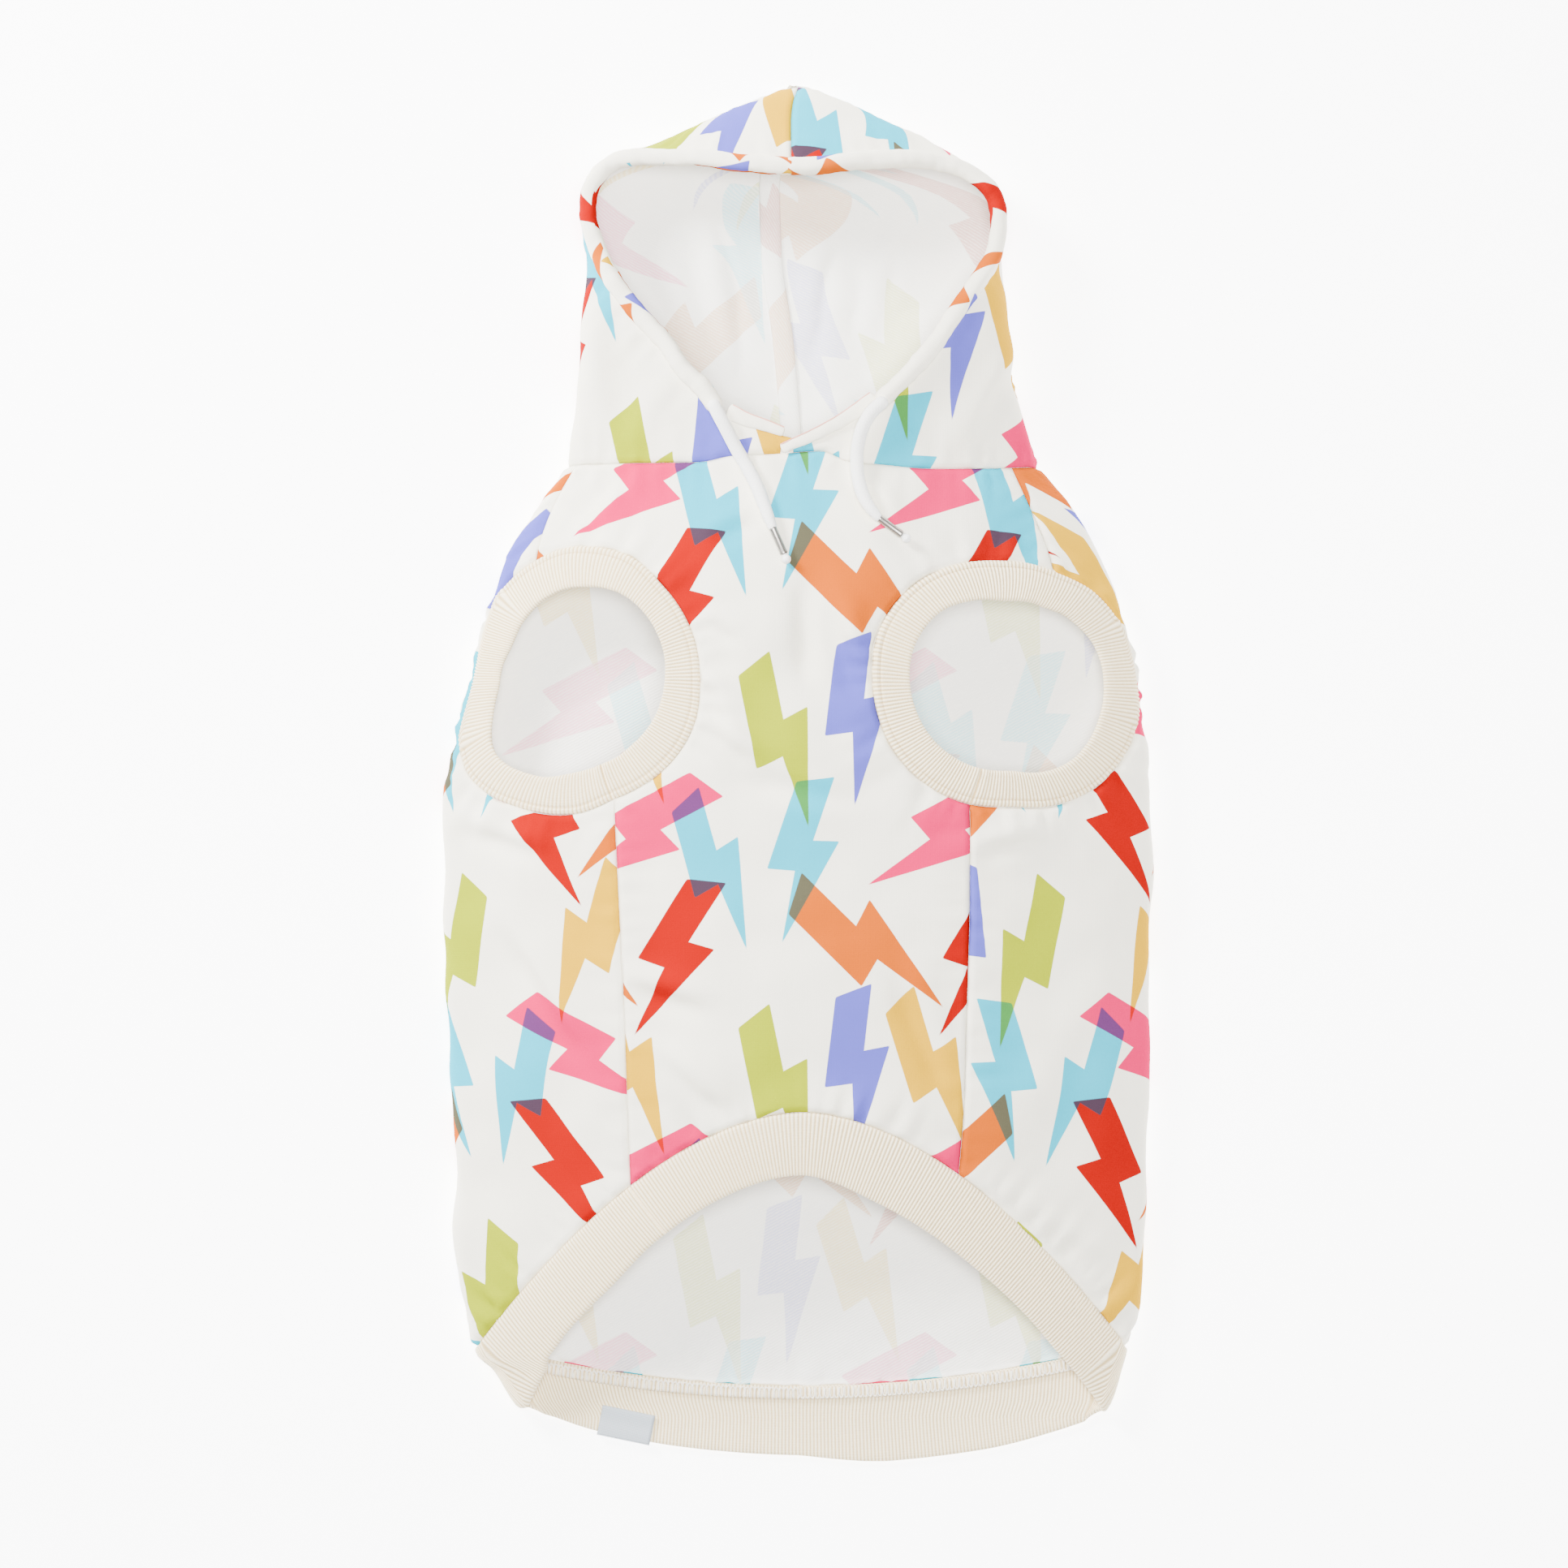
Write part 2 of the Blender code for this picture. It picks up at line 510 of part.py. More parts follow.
def add_panel(name, outline, lines, rows, margin, from_back=False):
    """A cloth panel of even thickness, cut out of the tube along its outline."""
    outline = np.array(outline)
    grid = np.array([(around, along) for along in rows for around in lines])
    edge = cut_plane(outline, from_back)
    flat = cut_plane(grid, from_back)
    gaps = np.linalg.norm(flat[:, None] - edge[None], axis=2).min(axis=1)
    keep = inside_outline(flat, edge) & (gaps > margin)
    places = np.concatenate([outline, grid[keep]])
    plane = [Vector(point) for point in np.concatenate([edge, flat[keep]])]
    count = len(outline)
    ring = [(i, (i + 1) % count) for i in range(count)]
    triangles, sources = delaunay_2d_cdt(plane, ring, [list(range(count))], 1, 1e-7)[2:4]
    source = [ids[0] for ids in sources]
    triangles = [[source[i] for i in triangle] for triangle in triangles]
    total = len(places)
    points = np.concatenate([place(*places.T), place(*places.T, inset=CLOTH)])
    faces = [tuple(triangle) for triangle in triangles]
    faces += [tuple(i + total for i in reversed(triangle)) for triangle in triangles]
    for i, j in ring:
        faces += [(i, j, j + total), (i, j + total, i + total)]
    return add_mesh(name, points, faces, "jersey")


def add_rib(name, seam_side, free_side, lift):
    """A closed band of rib knit between two lines on the tube."""
    count = len(seam_side)
    shares = np.linspace(0.0, 1.0, RIB_ROWS + 1)
    places = np.concatenate([seam_side + (free_side - seam_side) * share for share in shares])
    rise = np.repeat(lift * shares ** 2, count)
    outer = place(*places.T)
    inner = place(*places.T, inset=RIB_KNIT)
    outer[:, 2] += rise
    inner[:, 2] += rise
    total = len(places)
    faces = []
    for i in range(count):
        j = (i + 1) % count
        for row in range(RIB_ROWS):
            a, b, c, d = row * count + i, row * count + j, (row + 1) * count + j, (row + 1) * count + i
            faces += [(a, b, c), (a, c, d)]
            faces += [(a + total, c + total, b + total), (a + total, d + total, c + total)]
        last = RIB_ROWS * count
        faces += [(i, i + total, j + total), (i, j + total, j)]
        faces += [(last + i, last + j, last + j + total), (last + i, last + j + total, last + i + total)]
    return add_mesh(name, np.concatenate([outer, inner]), faces, "rib")


def add_tube(name, points, radius, look, narrowing=1.0, detail=2):
    """A round tube along a route, narrowing towards its end."""
    curve = bpy.data.curves.new(name, "CURVE")
    curve.dimensions = "3D"
    curve.bevel_depth = radius
    curve.bevel_resolution = detail
    curve.use_fill_caps = True
    curve.twist_mode = "MINIMUM"
    spline = curve.splines.new("POLY")
    spline.points.add(len(points) - 1)
    for i, point in enumerate(points):
        share = i / (len(points) - 1)
        spline.points[i].co = (*point, 1.0)
        spline.points[i].radius = 1.0 + (narrowing - 1.0) * share
    spline.use_smooth = True
    return add_object(name, curve, look)


def leg_places(side, turns, inward, shift=0.0):
    """Places round a leg opening, moved inward by a share of the rib's width."""
    radius = LEG_RADIUS[side](turns % 360.0) - inward * LEG_BAND[side](turns % 360.0) + shift
    x = LEG_CENTRE[side][0] * GARMENT_WIDTH + radius * np.cos(np.radians(turns))
    y = LEG_CENTRE[side][1] * GARMENT_LENGTH + radius * np.sin(np.radians(turns))
    return np.stack([x, y], axis=1)


def leg_on_tube(side, turns, inward, shift=0.0):
    """Places on the tube round a leg opening, kept a little inside the outline."""
    x, y = leg_places(side, turns, inward, shift).T
    half = SECTION["left" if side < 0 else "right"](y)
    x = side * np.minimum(side * x, half - LEG_OUTLINE_GAP + shift)
    return np.stack([on_top(x, y), y], axis=1)


def leg_corner(side, seam, guess, shift):
    """Degrees round a leg opening at which a seam runs into it."""
    turns = np.linspace(guess - 25.0, guess + 25.0, 1001)
    x, y = leg_places(side, turns, 0.0).T
    return turns[np.argmin(np.abs(x - seam(y) - shift))]


def leg_arc(side, start, stop):
    """Places along a leg opening's seam between two corners, both included."""
    count = max(3, int(round(abs(stop - start) / 360.0 * LEG_COLUMNS)) + 1)
    return [tuple(pair) for pair in leg_on_tube(side, np.linspace(start, stop, count), 0.0)]


def seam_run(seam, shift, start, stop):
    """Places along a seam between two heights, without its two ends."""
    count = max(2, int(round(abs(stop - start) / EDGE_STEP)))
    along = np.linspace(start, stop, count + 1)[1:-1]
    return [tuple(pair) for pair in zip(on_top(seam(along) + shift, along), along)]


def seam_end(seam, shift, rule):
    """Height at which a seam on the upper side meets the neck or the hem."""
    along = rule(seam(0.0), True)
    for _ in range(SOLVE_STEPS):
        along = rule(seam(along) + shift, True)
    return float(along)


def upper_edge(rule, start, stop, shift):
    """Places along the neck or the hem on the upper side, both ends included."""
    count = max(2, int(round(abs(stop - start) / EDGE_STEP)) + 1)
    x = np.linspace(start, stop, count)
    along = rule(x, True) + shift
    return [tuple(pair) for pair in zip(on_top(x, along), along)]


def round_edge(rule, start, stop, shift):
    """Places along the neck or the hem on the way round one side, ends left out."""
    return [tuple(pair) for pair in follow(steps_between(start, stop), rule, shift)]


def body_corners(side, gap):
    """Where a side's seams end: height at the neck and the hem, degrees at the leg."""
    return {
        "neck": seam_end(SHOULDER[side], gap, neck_rule),
        "hem": seam_end(BELLY_SEAM[side], gap, hem_rule),
        "shoulder": leg_corner(side, SHOULDER[side], SHOULDER_TURN[side], gap),
        "belly": leg_corner(side, BELLY_SEAM[side], BELLY_TURN[side], gap),
    }


def side_of_body(side, gap, belly):
    """One side of a body panel from the neck down the shoulder, round the leg and to the hem."""
    ends = body_corners(side, gap)
    start, stop = ends["shoulder"], ends["belly"]
    if belly and side < 0:
        stop -= 360.0
    if not belly and side > 0:
        stop -= 360.0
    arc = leg_arc(side, start, stop)
    places = seam_run(SHOULDER[side], gap, ends["neck"], arc[0][1]) + arc
    return places + seam_run(BELLY_SEAM[side], gap, arc[-1][1], ends["hem"]), ends


def add_belly_panel():
    """The belly between the two shoulder seams and the two belly seams."""
    half = SEAM_GAP / 2
    left, left_ends = side_of_body(-1, half, True)
    right, right_ends = side_of_body(1, -half, True)
    neck_x = [SHOULDER[-1](left_ends["neck"]) + half, SHOULDER[1](right_ends["neck"]) - half]
    hem_x = [BELLY_SEAM[-1](left_ends["hem"]) + half, BELLY_SEAM[1](right_ends["hem"]) - half]
    outline = upper_edge(neck_rule, neck_x[0], neck_x[1], -half) + right
    outline += upper_edge(hem_rule, hem_x[1], hem_x[0], half) + left[::-1]
    rows = np.arange(*BELLY_ROWS, BODY_ROW / GARMENT_LENGTH) * GARMENT_LENGTH
    add_panel("belly_panel", outline, np.linspace(-1.0, 1.0, 15), rows, BODY_ROW * GRID_MARGIN)


def add_back_panel():
    """The back and both flanks, from one belly seam round underneath to the other."""
    half = SEAM_GAP / 2
    left, left_ends = side_of_body(-1, -half, False)
    right, right_ends = side_of_body(1, half, False)
    edges = {}
    for side, ends in ((-1, left_ends), (1, right_ends)):
        neck_x = SHOULDER[side](ends["neck"]) + side * half
        hem_x = BELLY_SEAM[side](ends["hem"]) + side * half
        neck_at = float(on_top(neck_x, ends["neck"] - half))
        hem_at = float(on_top(hem_x, ends["hem"] + half))
        edges[side] = ([(neck_at, ends["neck"] - half)] + round_edge(neck_rule, neck_at, side * 3.0, -half),
                       [(hem_at, ends["hem"] + half)] + round_edge(hem_rule, hem_at, side * 3.0, half))
    middle_neck = [tuple(follow([3.0], neck_rule, -half)[0])]
    middle_hem = [tuple(follow([3.0], hem_rule, half)[0])]
    outline = edges[-1][0] + middle_neck + edges[1][0][::-1] + right
    outline += edges[1][1] + middle_hem + edges[-1][1][::-1] + left[::-1]
    rows = np.arange(*BACK_ROWS, BODY_ROW / GARMENT_LENGTH) * GARMENT_LENGTH
    lines = np.concatenate([-INNER_STEPS[1:], INNER_STEPS[1:]])
    add_panel("back_panel", outline, lines, rows, BODY_ROW * GRID_MARGIN, from_back=True)


def rim_places(side):
    """Middle line of the hood's edge casing, from the throat to the top seam."""
    return top_path(RIM_LEFT if side < 0 else RIM_RIGHT, RIM_STEP)


def throat_edge(side, bands):
    """Edge of a hood half from the neck seam up to where the casing begins."""
    reach = FRONT_BAND_DIAMETER / 2 + CLEARANCE
    lower = bands[1][::-1]
    if side < 0:
        beside_lower = clear_of(beside(lower, reach), bands[-1], reach)
        beside_lower = beside_lower[beside_lower[:, 0] < bands[-1][-1, 0] + 0.05]
        beside_own = clear_of(beside(bands[-1][::-1], reach), bands[1], reach)
        edge = np.concatenate([beside_lower, beside_own])
        corner = place(*edge[0])[0] - CLEARANCE
    else:
        edge = beside(lower, -reach)
        above_neck = edge[:, 1] > neck_rule(place(*edge.T)[:, 0], True) + CLEARANCE + SEAM_GAP
        edge = edge[above_neck]
        corner = place(*edge[0])[0]
    along = float(neck_rule(corner, True)) + SEAM_GAP / 2
    return [(float(on_top(corner, along)), along)] + [tuple(pair) for pair in edge]


def add_hood_half(side, bands):
    """One half of the hood, from the top seam round the side fold to the back seam."""
    half = SEAM_GAP / 2
    gap = side * half
    peak = SECTIONS[-1][0] * GARMENT_LENGTH
    fine_from = PEAK_FROM * GARMENT_LENGTH
    throat = throat_edge(side, bands)
    rim = beside(rim_places(side), side * -(CASING_DIAMETER / 2 + CLEARANCE))
    seam_along = rim[-1, 1]
    rim = rim[np.abs(place(*rim.T)[:, 0] - TOP_SEAM(rim[:, 1])) > RIM_STEP * 0.6]
    seam_rows = np.linspace(seam_along, peak, 7)[:-1]
    top_seam = [(float(on_top(TOP_SEAM(y) + gap, y)), y) for y in seam_rows]
    start = float(on_top(TOP_SEAM(peak) + gap, peak))
    stop = float(on_back(BACK_SEAM(peak) + gap, peak, side))
    tip = [(at, peak) for at in (start, side * 0.5, side * 1.0, side * 1.3, side * 1.65, side * 2.0, stop)]
    neck = float(neck_rule(0.0, False)) + half
    count = int(round((peak - neck) / HOOD_ROW)) + 1
    back_rows = np.concatenate([np.linspace(peak, fine_from, 8)[1:],
                                np.linspace(fine_from, neck, count // 2)[1:]])
    back_seam = [(float(on_back(BACK_SEAM(y) + gap, y, side)), y) for y in back_rows]
    neck_edge = round_edge(neck_rule, back_seam[-1][0], throat[0][0], half)
    outline = throat + [tuple(pair) for pair in rim] + top_seam + tip + back_seam + neck_edge
    rows = np.concatenate([np.arange(neck, fine_from, HOOD_ROW), np.arange(fine_from, peak, PEAK_ROW)])
    name = "hood_left" if side < 0 else "hood_right"
    add_panel(name, outline, side * INNER_STEPS, rows, PEAK_ROW * GRID_MARGIN)


def add_leg_rib(side):
    """The rib band round one leg opening."""
    turns = np.arange(LEG_COLUMNS) * 360.0 / LEG_COLUMNS
    seam = leg_on_tube(side, turns, 0.0, -SEAM_GAP)
    free = leg_on_tube(side, turns, 1.0)
    add_rib("leg_rib_left" if side < 0 else "leg_rib_right", seam, free, LEG_RIB_LIFT)


def hem_lines():
    """Upper and lower line of the hem rib, with a column on each section line."""
    columns = np.concatenate([-HEM_STEPS[::-1], HEM_STEPS[1:-1]])
    seam = follow(columns, hem_rule, -SEAM_GAP / 2)
    return seam, seam - np.stack([0 * columns, RIB_DEPTH(columns)], axis=1)


def add_hem_label(free):
    """A small woven label sewn on the inner face of the back rib and over its lower edge."""
    points = place(*free.T)
    on_floor = np.abs(free[:, 0]) > 2.1
    nearest = np.argmin(np.where(on_floor, np.abs(points[:, 0] - LABEL_ACROSS * GARMENT_WIDTH), 1.0))
    heading = points[nearest - 1] - points[nearest + 1]
    across = Vector((abs(heading[0]), heading[1] * np.sign(heading[0]), 0.0)).normalized()
    upward = Vector((-across.y, across.x, 0.0))
    low = RIB_KNIT + CLEARANCE
    lip = -CLEARANCE - LABEL_THICKNESS
    profile = ((LABEL_HEIGHT, low), (LABEL_HEIGHT, low + LABEL_THICKNESS), (lip, low + LABEL_THICKNESS),
               (lip, CLEARANCE), (-CLEARANCE, CLEARANCE), (-CLEARANCE, low))
    origin = Vector((points[nearest][0], points[nearest][1], 0.0))
    corners = []
    for end in (-0.5, 0.5):
        for run, height in profile:
            corners.append(origin + across * end * LABEL_WIDTH + upward * run + Vector((0, 0, height)))
    count = len(profile)
    faces = [tuple(range(count)), tuple(range(2 * count - 1, count - 1, -1))]
    faces += [(i, (i + 1) % count, (i + 1) % count + count, i + count) for i in range(count)]
    label = add_mesh("hem_label", corners, faces, "label")
    label.data.set_sharp_from_angle(angle=0.6)


def add_casing(side):
    """The rolled casing along half of the hood's edge, raised where the cord comes out."""
    rim = rim_places(side)
    seam_x = TOP_SEAM(rim[-1, 1]) + side * SEAM_GAP / 2
    rim[-1, 0] = on_top(seam_x, rim[-1, 1])
    share = np.clip(1 - np.arange(len(rim)) * RIM_STEP / CASING_LIFT_RUN, 0.0, 1.0)
    points = above(rim, CASING_LIFT * share * share * (3 - 2 * share) - CLOTH / 2)
    add_tube("casing_left" if side < 0 else "casing_right", points, CASING_DIAMETER / 2, "jersey")


def add_turned(name, create, look, **sizes):
    """A round metal or moulded piece made by one of Blender's mesh primitives."""
    shape = bmesh.new()
    create(shape, **sizes)
    mesh = bpy.data.meshes.new(name)
    shape.to_mesh(mesh)
    shape.free()
    mesh.shade_smooth()
    mesh.set_sharp_from_angle(angle=0.6)
    return add_object(name, mesh, look)


def add_drawcord(side, route):
    """One free end of the drawcord with its metal aglet and round tip, lying on the belly."""
    word = "left" if side < 0 else "right"
    dense = smooth_path(np.array(route) * (GARMENT_WIDTH, GARMENT_LENGTH, CORD_DIAMETER),
                        CORD_READ_STEP)
    run = np.concatenate([[0.0], np.cumsum(np.linalg.norm(np.diff(dense[:, :2], axis=0), axis=1))])
    length = run[-1] - AGLET_LENGTH
    straight = CORD_DIAMETER / 2
    even = np.linspace(0.0, length - straight, int(round(length / (2 * CORD_DIAMETER))) + 1)
    even = np.append(even, length)
    x, y, lift = [np.interp(even, run, column) for column in dense.T]
    points = above(np.stack([on_top(x, y), y], axis=1), CORD_DIAMETER / 2 + CLEARANCE + lift)
    add_tube("drawcord_" + word, points, CORD_DIAMETER / 2, "cord", narrowing=0.94, detail=3)
    reach = AGLET_LENGTH + 2 * CLEARANCE + TIP_DIAMETER / 2
    end = Vector(points[-1])
    heading = dense[-1, :2] - points[-1][:2]
    ball_x, ball_y = points[-1][:2] + heading / np.linalg.norm(heading) * reach
    ball_place = np.array([(on_top(ball_x, ball_y), ball_y)])
    direction = (Vector(above(ball_place, TIP_DIAMETER / 2 + CLEARANCE)[0]) - end).normalized()
    turn = direction.to_track_quat("Z", "Y").to_matrix().to_4x4()
    middle = end + direction * (CLEARANCE + AGLET_LENGTH / 2)
    add_turned("aglet_" + word, bmesh.ops.create_cone, "aglet", cap_ends=True, segments=16,
               radius1=AGLET_DIAMETER / 2, radius2=AGLET_DIAMETER / 2, depth=AGLET_LENGTH,
               matrix=Matrix.Translation(middle) @ turn)
    ball = end + direction * reach
    add_turned("cord_tip_" + word, bmesh.ops.create_uvsphere, "tip", u_segments=12, v_segments=8,
               radius=TIP_DIAMETER / 2, matrix=Matrix.Translation(ball) @ turn)


def build_hoodie():
    """All pieces of the hoodie, each an object of its own."""
    for old in list(bpy.data.objects):
        bpy.data.objects.remove(old, do_unlink=True)
    bands = {-1: top_path(FRONT_BAND_LEFT, RIM_STEP), 1: top_path(FRONT_BAND_RIGHT, RIM_STEP)}
    add_belly_panel()
    add_back_panel()
    for side in (-1, 1):
        add_hood_half(side, bands)
        add_leg_rib(side)
        add_casing(side)
        word = "left" if side < 0 else "right"
        band_points = above(bands[side], -CLOTH / 2)
        add_tube("front_band_" + word, band_points, FRONT_BAND_DIAMETER / 2, "jersey", narrowing=0.7)
    seam, free = hem_lines()
    add_rib("hem_rib", seam, free, 0.0)
    add_hem_label(free)
    add_drawcord(-1, CORD_LEFT)
    add_drawcord(1, CORD_RIGHT)


build_hoodie()
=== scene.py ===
"""Dog hoodie of printed cotton jersey with cream rib bands, laid on its back for its photograph."""

import bmesh
import bpy
import numpy as np
from mathutils import Matrix, Vector, kdtree, noise
from mathutils.geometry import delaunay_2d_cdt


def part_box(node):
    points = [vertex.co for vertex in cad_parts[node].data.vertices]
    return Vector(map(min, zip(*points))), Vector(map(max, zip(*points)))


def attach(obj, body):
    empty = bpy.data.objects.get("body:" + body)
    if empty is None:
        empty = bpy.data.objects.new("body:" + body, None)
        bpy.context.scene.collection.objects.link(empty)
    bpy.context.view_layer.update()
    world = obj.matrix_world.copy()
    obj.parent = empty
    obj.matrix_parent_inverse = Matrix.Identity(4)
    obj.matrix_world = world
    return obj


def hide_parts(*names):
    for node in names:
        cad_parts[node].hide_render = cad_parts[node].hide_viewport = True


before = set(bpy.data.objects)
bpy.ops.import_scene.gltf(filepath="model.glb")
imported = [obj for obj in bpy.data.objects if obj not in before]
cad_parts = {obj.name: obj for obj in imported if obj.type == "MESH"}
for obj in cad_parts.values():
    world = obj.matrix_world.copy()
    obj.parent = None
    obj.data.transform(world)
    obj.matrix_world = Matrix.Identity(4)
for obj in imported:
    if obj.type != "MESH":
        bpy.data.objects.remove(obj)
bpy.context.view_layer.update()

# Table, light and camera
# The garment lies on a frosted white sheet that is lit from below, under two wide soft boxes. White cards
# stand all round it, so its shadows are faint. The camera looks straight down.


def feed(tree, node, inputs):
    """Link or set a node's inputs."""
    for name, value in inputs.items():
        if isinstance(value, bpy.types.NodeSocket):
            tree.links.new(value, node.inputs[name])
        else:
            node.inputs[name].default_value = value


def add_node(tree, kind, inputs=None, **settings):
    """A shader node with its settings, and its inputs linked or set."""
    made = tree.nodes.new("ShaderNode" + kind)
    for key, value in settings.items():
        setattr(made, key, value)
    feed(tree, made, inputs or {})
    return made


def linear(hex_colour):
    """An sRGB hex colour as linear numbers."""
    shares = [int(hex_colour[i:i + 2], 16) / 255 for i in (1, 3, 5)]
    values = [share / 12.92 if share <= 0.04045 else ((share + 0.055) / 1.055) ** 2.4 for share in shares]
    return (*values, 1.0)


def new_material(name):
    """A material with only its shader, whose other nodes are added one by one."""
    made = bpy.data.materials.new(name)
    made.use_nodes = True
    return made, made.node_tree, made.node_tree.nodes["Principled BSDF"]


table_size = 3.0
sheet_glow = 6.0
card_glow = 0.40
bpy.ops.object.select_all(action="DESELECT")
bpy.ops.mesh.primitive_plane_add(size=table_size, location=(0, 0, 0))
table = bpy.context.object
table.name = "table_top"
# Frosted acrylic sheet: an even matt white with a very fine grain
frosted_sheet, tree, shader = new_material("frosted_white_sheet")
feed(tree, shader, {"Base Color": linear("#FAFAFA"), "Roughness": 0.9, "Specular IOR Level": 0.1,
                    "Emission Color": linear("#FFFFFF"), "Emission Strength": sheet_glow})
grain = add_node(tree, "TexNoise", {"Scale": 900.0, "Detail": 2.0,
                                    "Vector": add_node(tree, "TexCoord").outputs["Object"]})
tooth = add_node(tree, "Bump", {"Strength": 0.05, "Distance": 0.0002, "Height": grain.outputs["Fac"]})
feed(tree, shader, {"Normal": tooth.outputs["Normal"]})
table.data.materials.append(frosted_sheet)

sky = bpy.data.worlds.new("white_cards_all_round")
sky.use_nodes = True
sky.node_tree.nodes["Background"].inputs["Color"].default_value = linear("#FFFFFF")
sky.node_tree.nodes["Background"].inputs["Strength"].default_value = card_glow
bpy.context.scene.world = sky

# Each soft box with its place, its width and its power in watts
lamps = (
    ("side_soft_box", (-0.95, 0.85, 0.76), 0.45, 66.0),
    ("overhead_soft_box", (0.04, 0.04, 1.60), 0.5, 70.0),
)
for name, spot, size, power in lamps:
    lamp = bpy.data.lights.new(name, "AREA")
    lamp.shape = "DISK"
    lamp.size = size
    lamp.energy = power
    lamp_object = bpy.data.objects.new(name, lamp)
    lamp_object.matrix_world = (Matrix.Translation(spot)
                                @ (-Vector(spot)).to_track_quat("-Z", "Y").to_matrix().to_4x4())
    bpy.context.scene.collection.objects.link(lamp_object)

# The photograph is 1932 pixels wide at 0.3 mm to a pixel
view_width = 0.5796
view_middle = (-0.00525, -0.00375)
focal_length = 100.0
sensor_width = 36.0
middle_height = 0.020
camera = bpy.data.cameras.new("overhead_camera")
camera.lens = focal_length
camera.sensor_width = sensor_width
camera_object = bpy.data.objects.new("overhead_camera", camera)
camera_object.location = (*view_middle, middle_height + view_width * focal_length / sensor_width)
bpy.context.scene.collection.objects.link(camera_object)
bpy.context.scene.camera = camera_object

# Printed jersey
# All panels are cut from one roll of 260 g jersey with a looped back: a smooth white face that is printed
# all over with plain lightning bolts in seven inks, and a white looped side through which the print shows
# as a pale ghost. Each ink is see-through, so where two bolts cross, the colours darken each other.

print_tile = (0.112, 0.128)
bolt_names = ("ink", "across", "up", "lean", "size")
bolts = (
    ("lime", 0.020, 0.093, 13, 0.066),
    ("sky", 0.027, 0.050, -17, 0.064),
    ("orange", 0.051, 0.019, 47, 0.072),
    ("lilac", 0.047, 0.101, -5, 0.064),
    ("yellow", 0.076, 0.100, 19, 0.066),
    ("pink", 0.079, 0.058, -61, 0.068),
    ("red", 0.092, 0.014, -31, 0.066),
    ("sky", 0.108, 0.046, 17, 0.062),
)
# The inks are set a little deeper than they look, because strong light washes them out
inks = {
    "lime": "#9CAA00", "sky": "#0FB2DC", "orange": "#C05900", "lilac": "#5859CA",
    "yellow": "#D2A200", "pink": "#D80760", "red": "#9C0200",
}
cool_inks = ("sky", "lilac")
crossing_haze = 0.21
crossing_cool_share = 0.29
# A plain zigzag bolt of length one, its tip at zero, as two convex shapes that overlap a little where they
# share an edge
bolt_head = ((-0.170, 0.905), (0.030, 1.000), (0.020, 0.615), (-0.030, 0.420), (-0.185, 0.385))
bolt_spike = ((0.020, 0.615), (0.165, 0.655), (0.020, 0.000), (-0.030, 0.420))
bolt_overlap = 0.012
bolt_corner = 0.0011
ink_edge = 0.00012
# A wave texture of this scale has one wave in a pitch
wave_scale = 1 / 3.1416


def bolt_group():
    """Shader group that gives how far a point lies inside a bolt, in metres."""
    tree = bpy.data.node_groups.new("printed_bolt", "ShaderNodeTree")
    for name, kind in (("Place", "NodeSocketVector"), ("Middle", "NodeSocketVector"),
                       ("Lean", "NodeSocketFloat"), ("Size", "NodeSocketFloat")):
        tree.interface.new_socket(name, in_out="INPUT", socket_type=kind)
    tree.interface.new_socket("Ink", in_out="OUTPUT", socket_type="NodeSocketFloat")
    entry = tree.nodes.new("NodeGroupInput").outputs
    leave = tree.nodes.new("NodeGroupOutput").inputs["Ink"]
    from_middle = add_node(tree, "VectorMath", {0: entry["Place"], 1: entry["Middle"]},
                           operation="SUBTRACT")
    half = (print_tile[0] / 2, print_tile[1] / 2, 1.0)
    wrapped = add_node(tree, "VectorMath", {0: from_middle.outputs["Vector"], 1: half,
                                            2: tuple(-value for value in half)}, operation="WRAP")
    upright = add_node(tree, "VectorRotate", {"Vector": wrapped.outputs["Vector"], "Angle": entry["Lean"]},
                       rotation_type="Z_AXIS")
    parts = add_node(tree, "SeparateXYZ", {"Vector": upright.outputs["Vector"]})
    raised = add_node(tree, "Math", {0: entry["Size"], 1: 0.5, 2: parts.outputs["Y"]},
                      operation="MULTIPLY_ADD")
    spot = add_node(tree, "CombineXYZ", {"X": parts.outputs["X"], "Y": raised.outputs["Value"],
                                         "Z": entry["Size"]}).outputs["Vector"]
    depths = []
    for outline in (bolt_head, bolt_spike):
        depth = None
        for i, start in enumerate(outline):
            stop = outline[(i + 1) % len(outline)]
            inward = Vector((stop[1] - start[1], start[0] - stop[0])).normalized()
            shared = start in bolt_head and stop in bolt_head and start in bolt_spike and stop in bolt_spike
            reach = bolt_overlap if shared else 0.0
            rule = (inward.x, inward.y, reach - inward.x * start[0] - inward.y * start[1])
            edge = add_node(tree, "VectorMath", {0: spot, 1: rule},
                            operation="DOT_PRODUCT").outputs["Value"]
            if depth is None:
                depth = edge
            else:
                depth = add_node(tree, "Math", {0: depth, 1: edge, 2: bolt_corner},
                                 operation="SMOOTH_MIN").outputs["Value"]
        depths.append(depth)
    joined = add_node(tree, "Math", {0: depths[0], 1: depths[1]}, operation="MAXIMUM")
    cover = add_node(tree, "MapRange", {"Value": joined.outputs["Value"], "From Min": -ink_edge,
                                        "From Max": ink_edge})
    tree.links.new(cover.outputs["Result"], leave)
    return tree


printed_bolt = bolt_group()


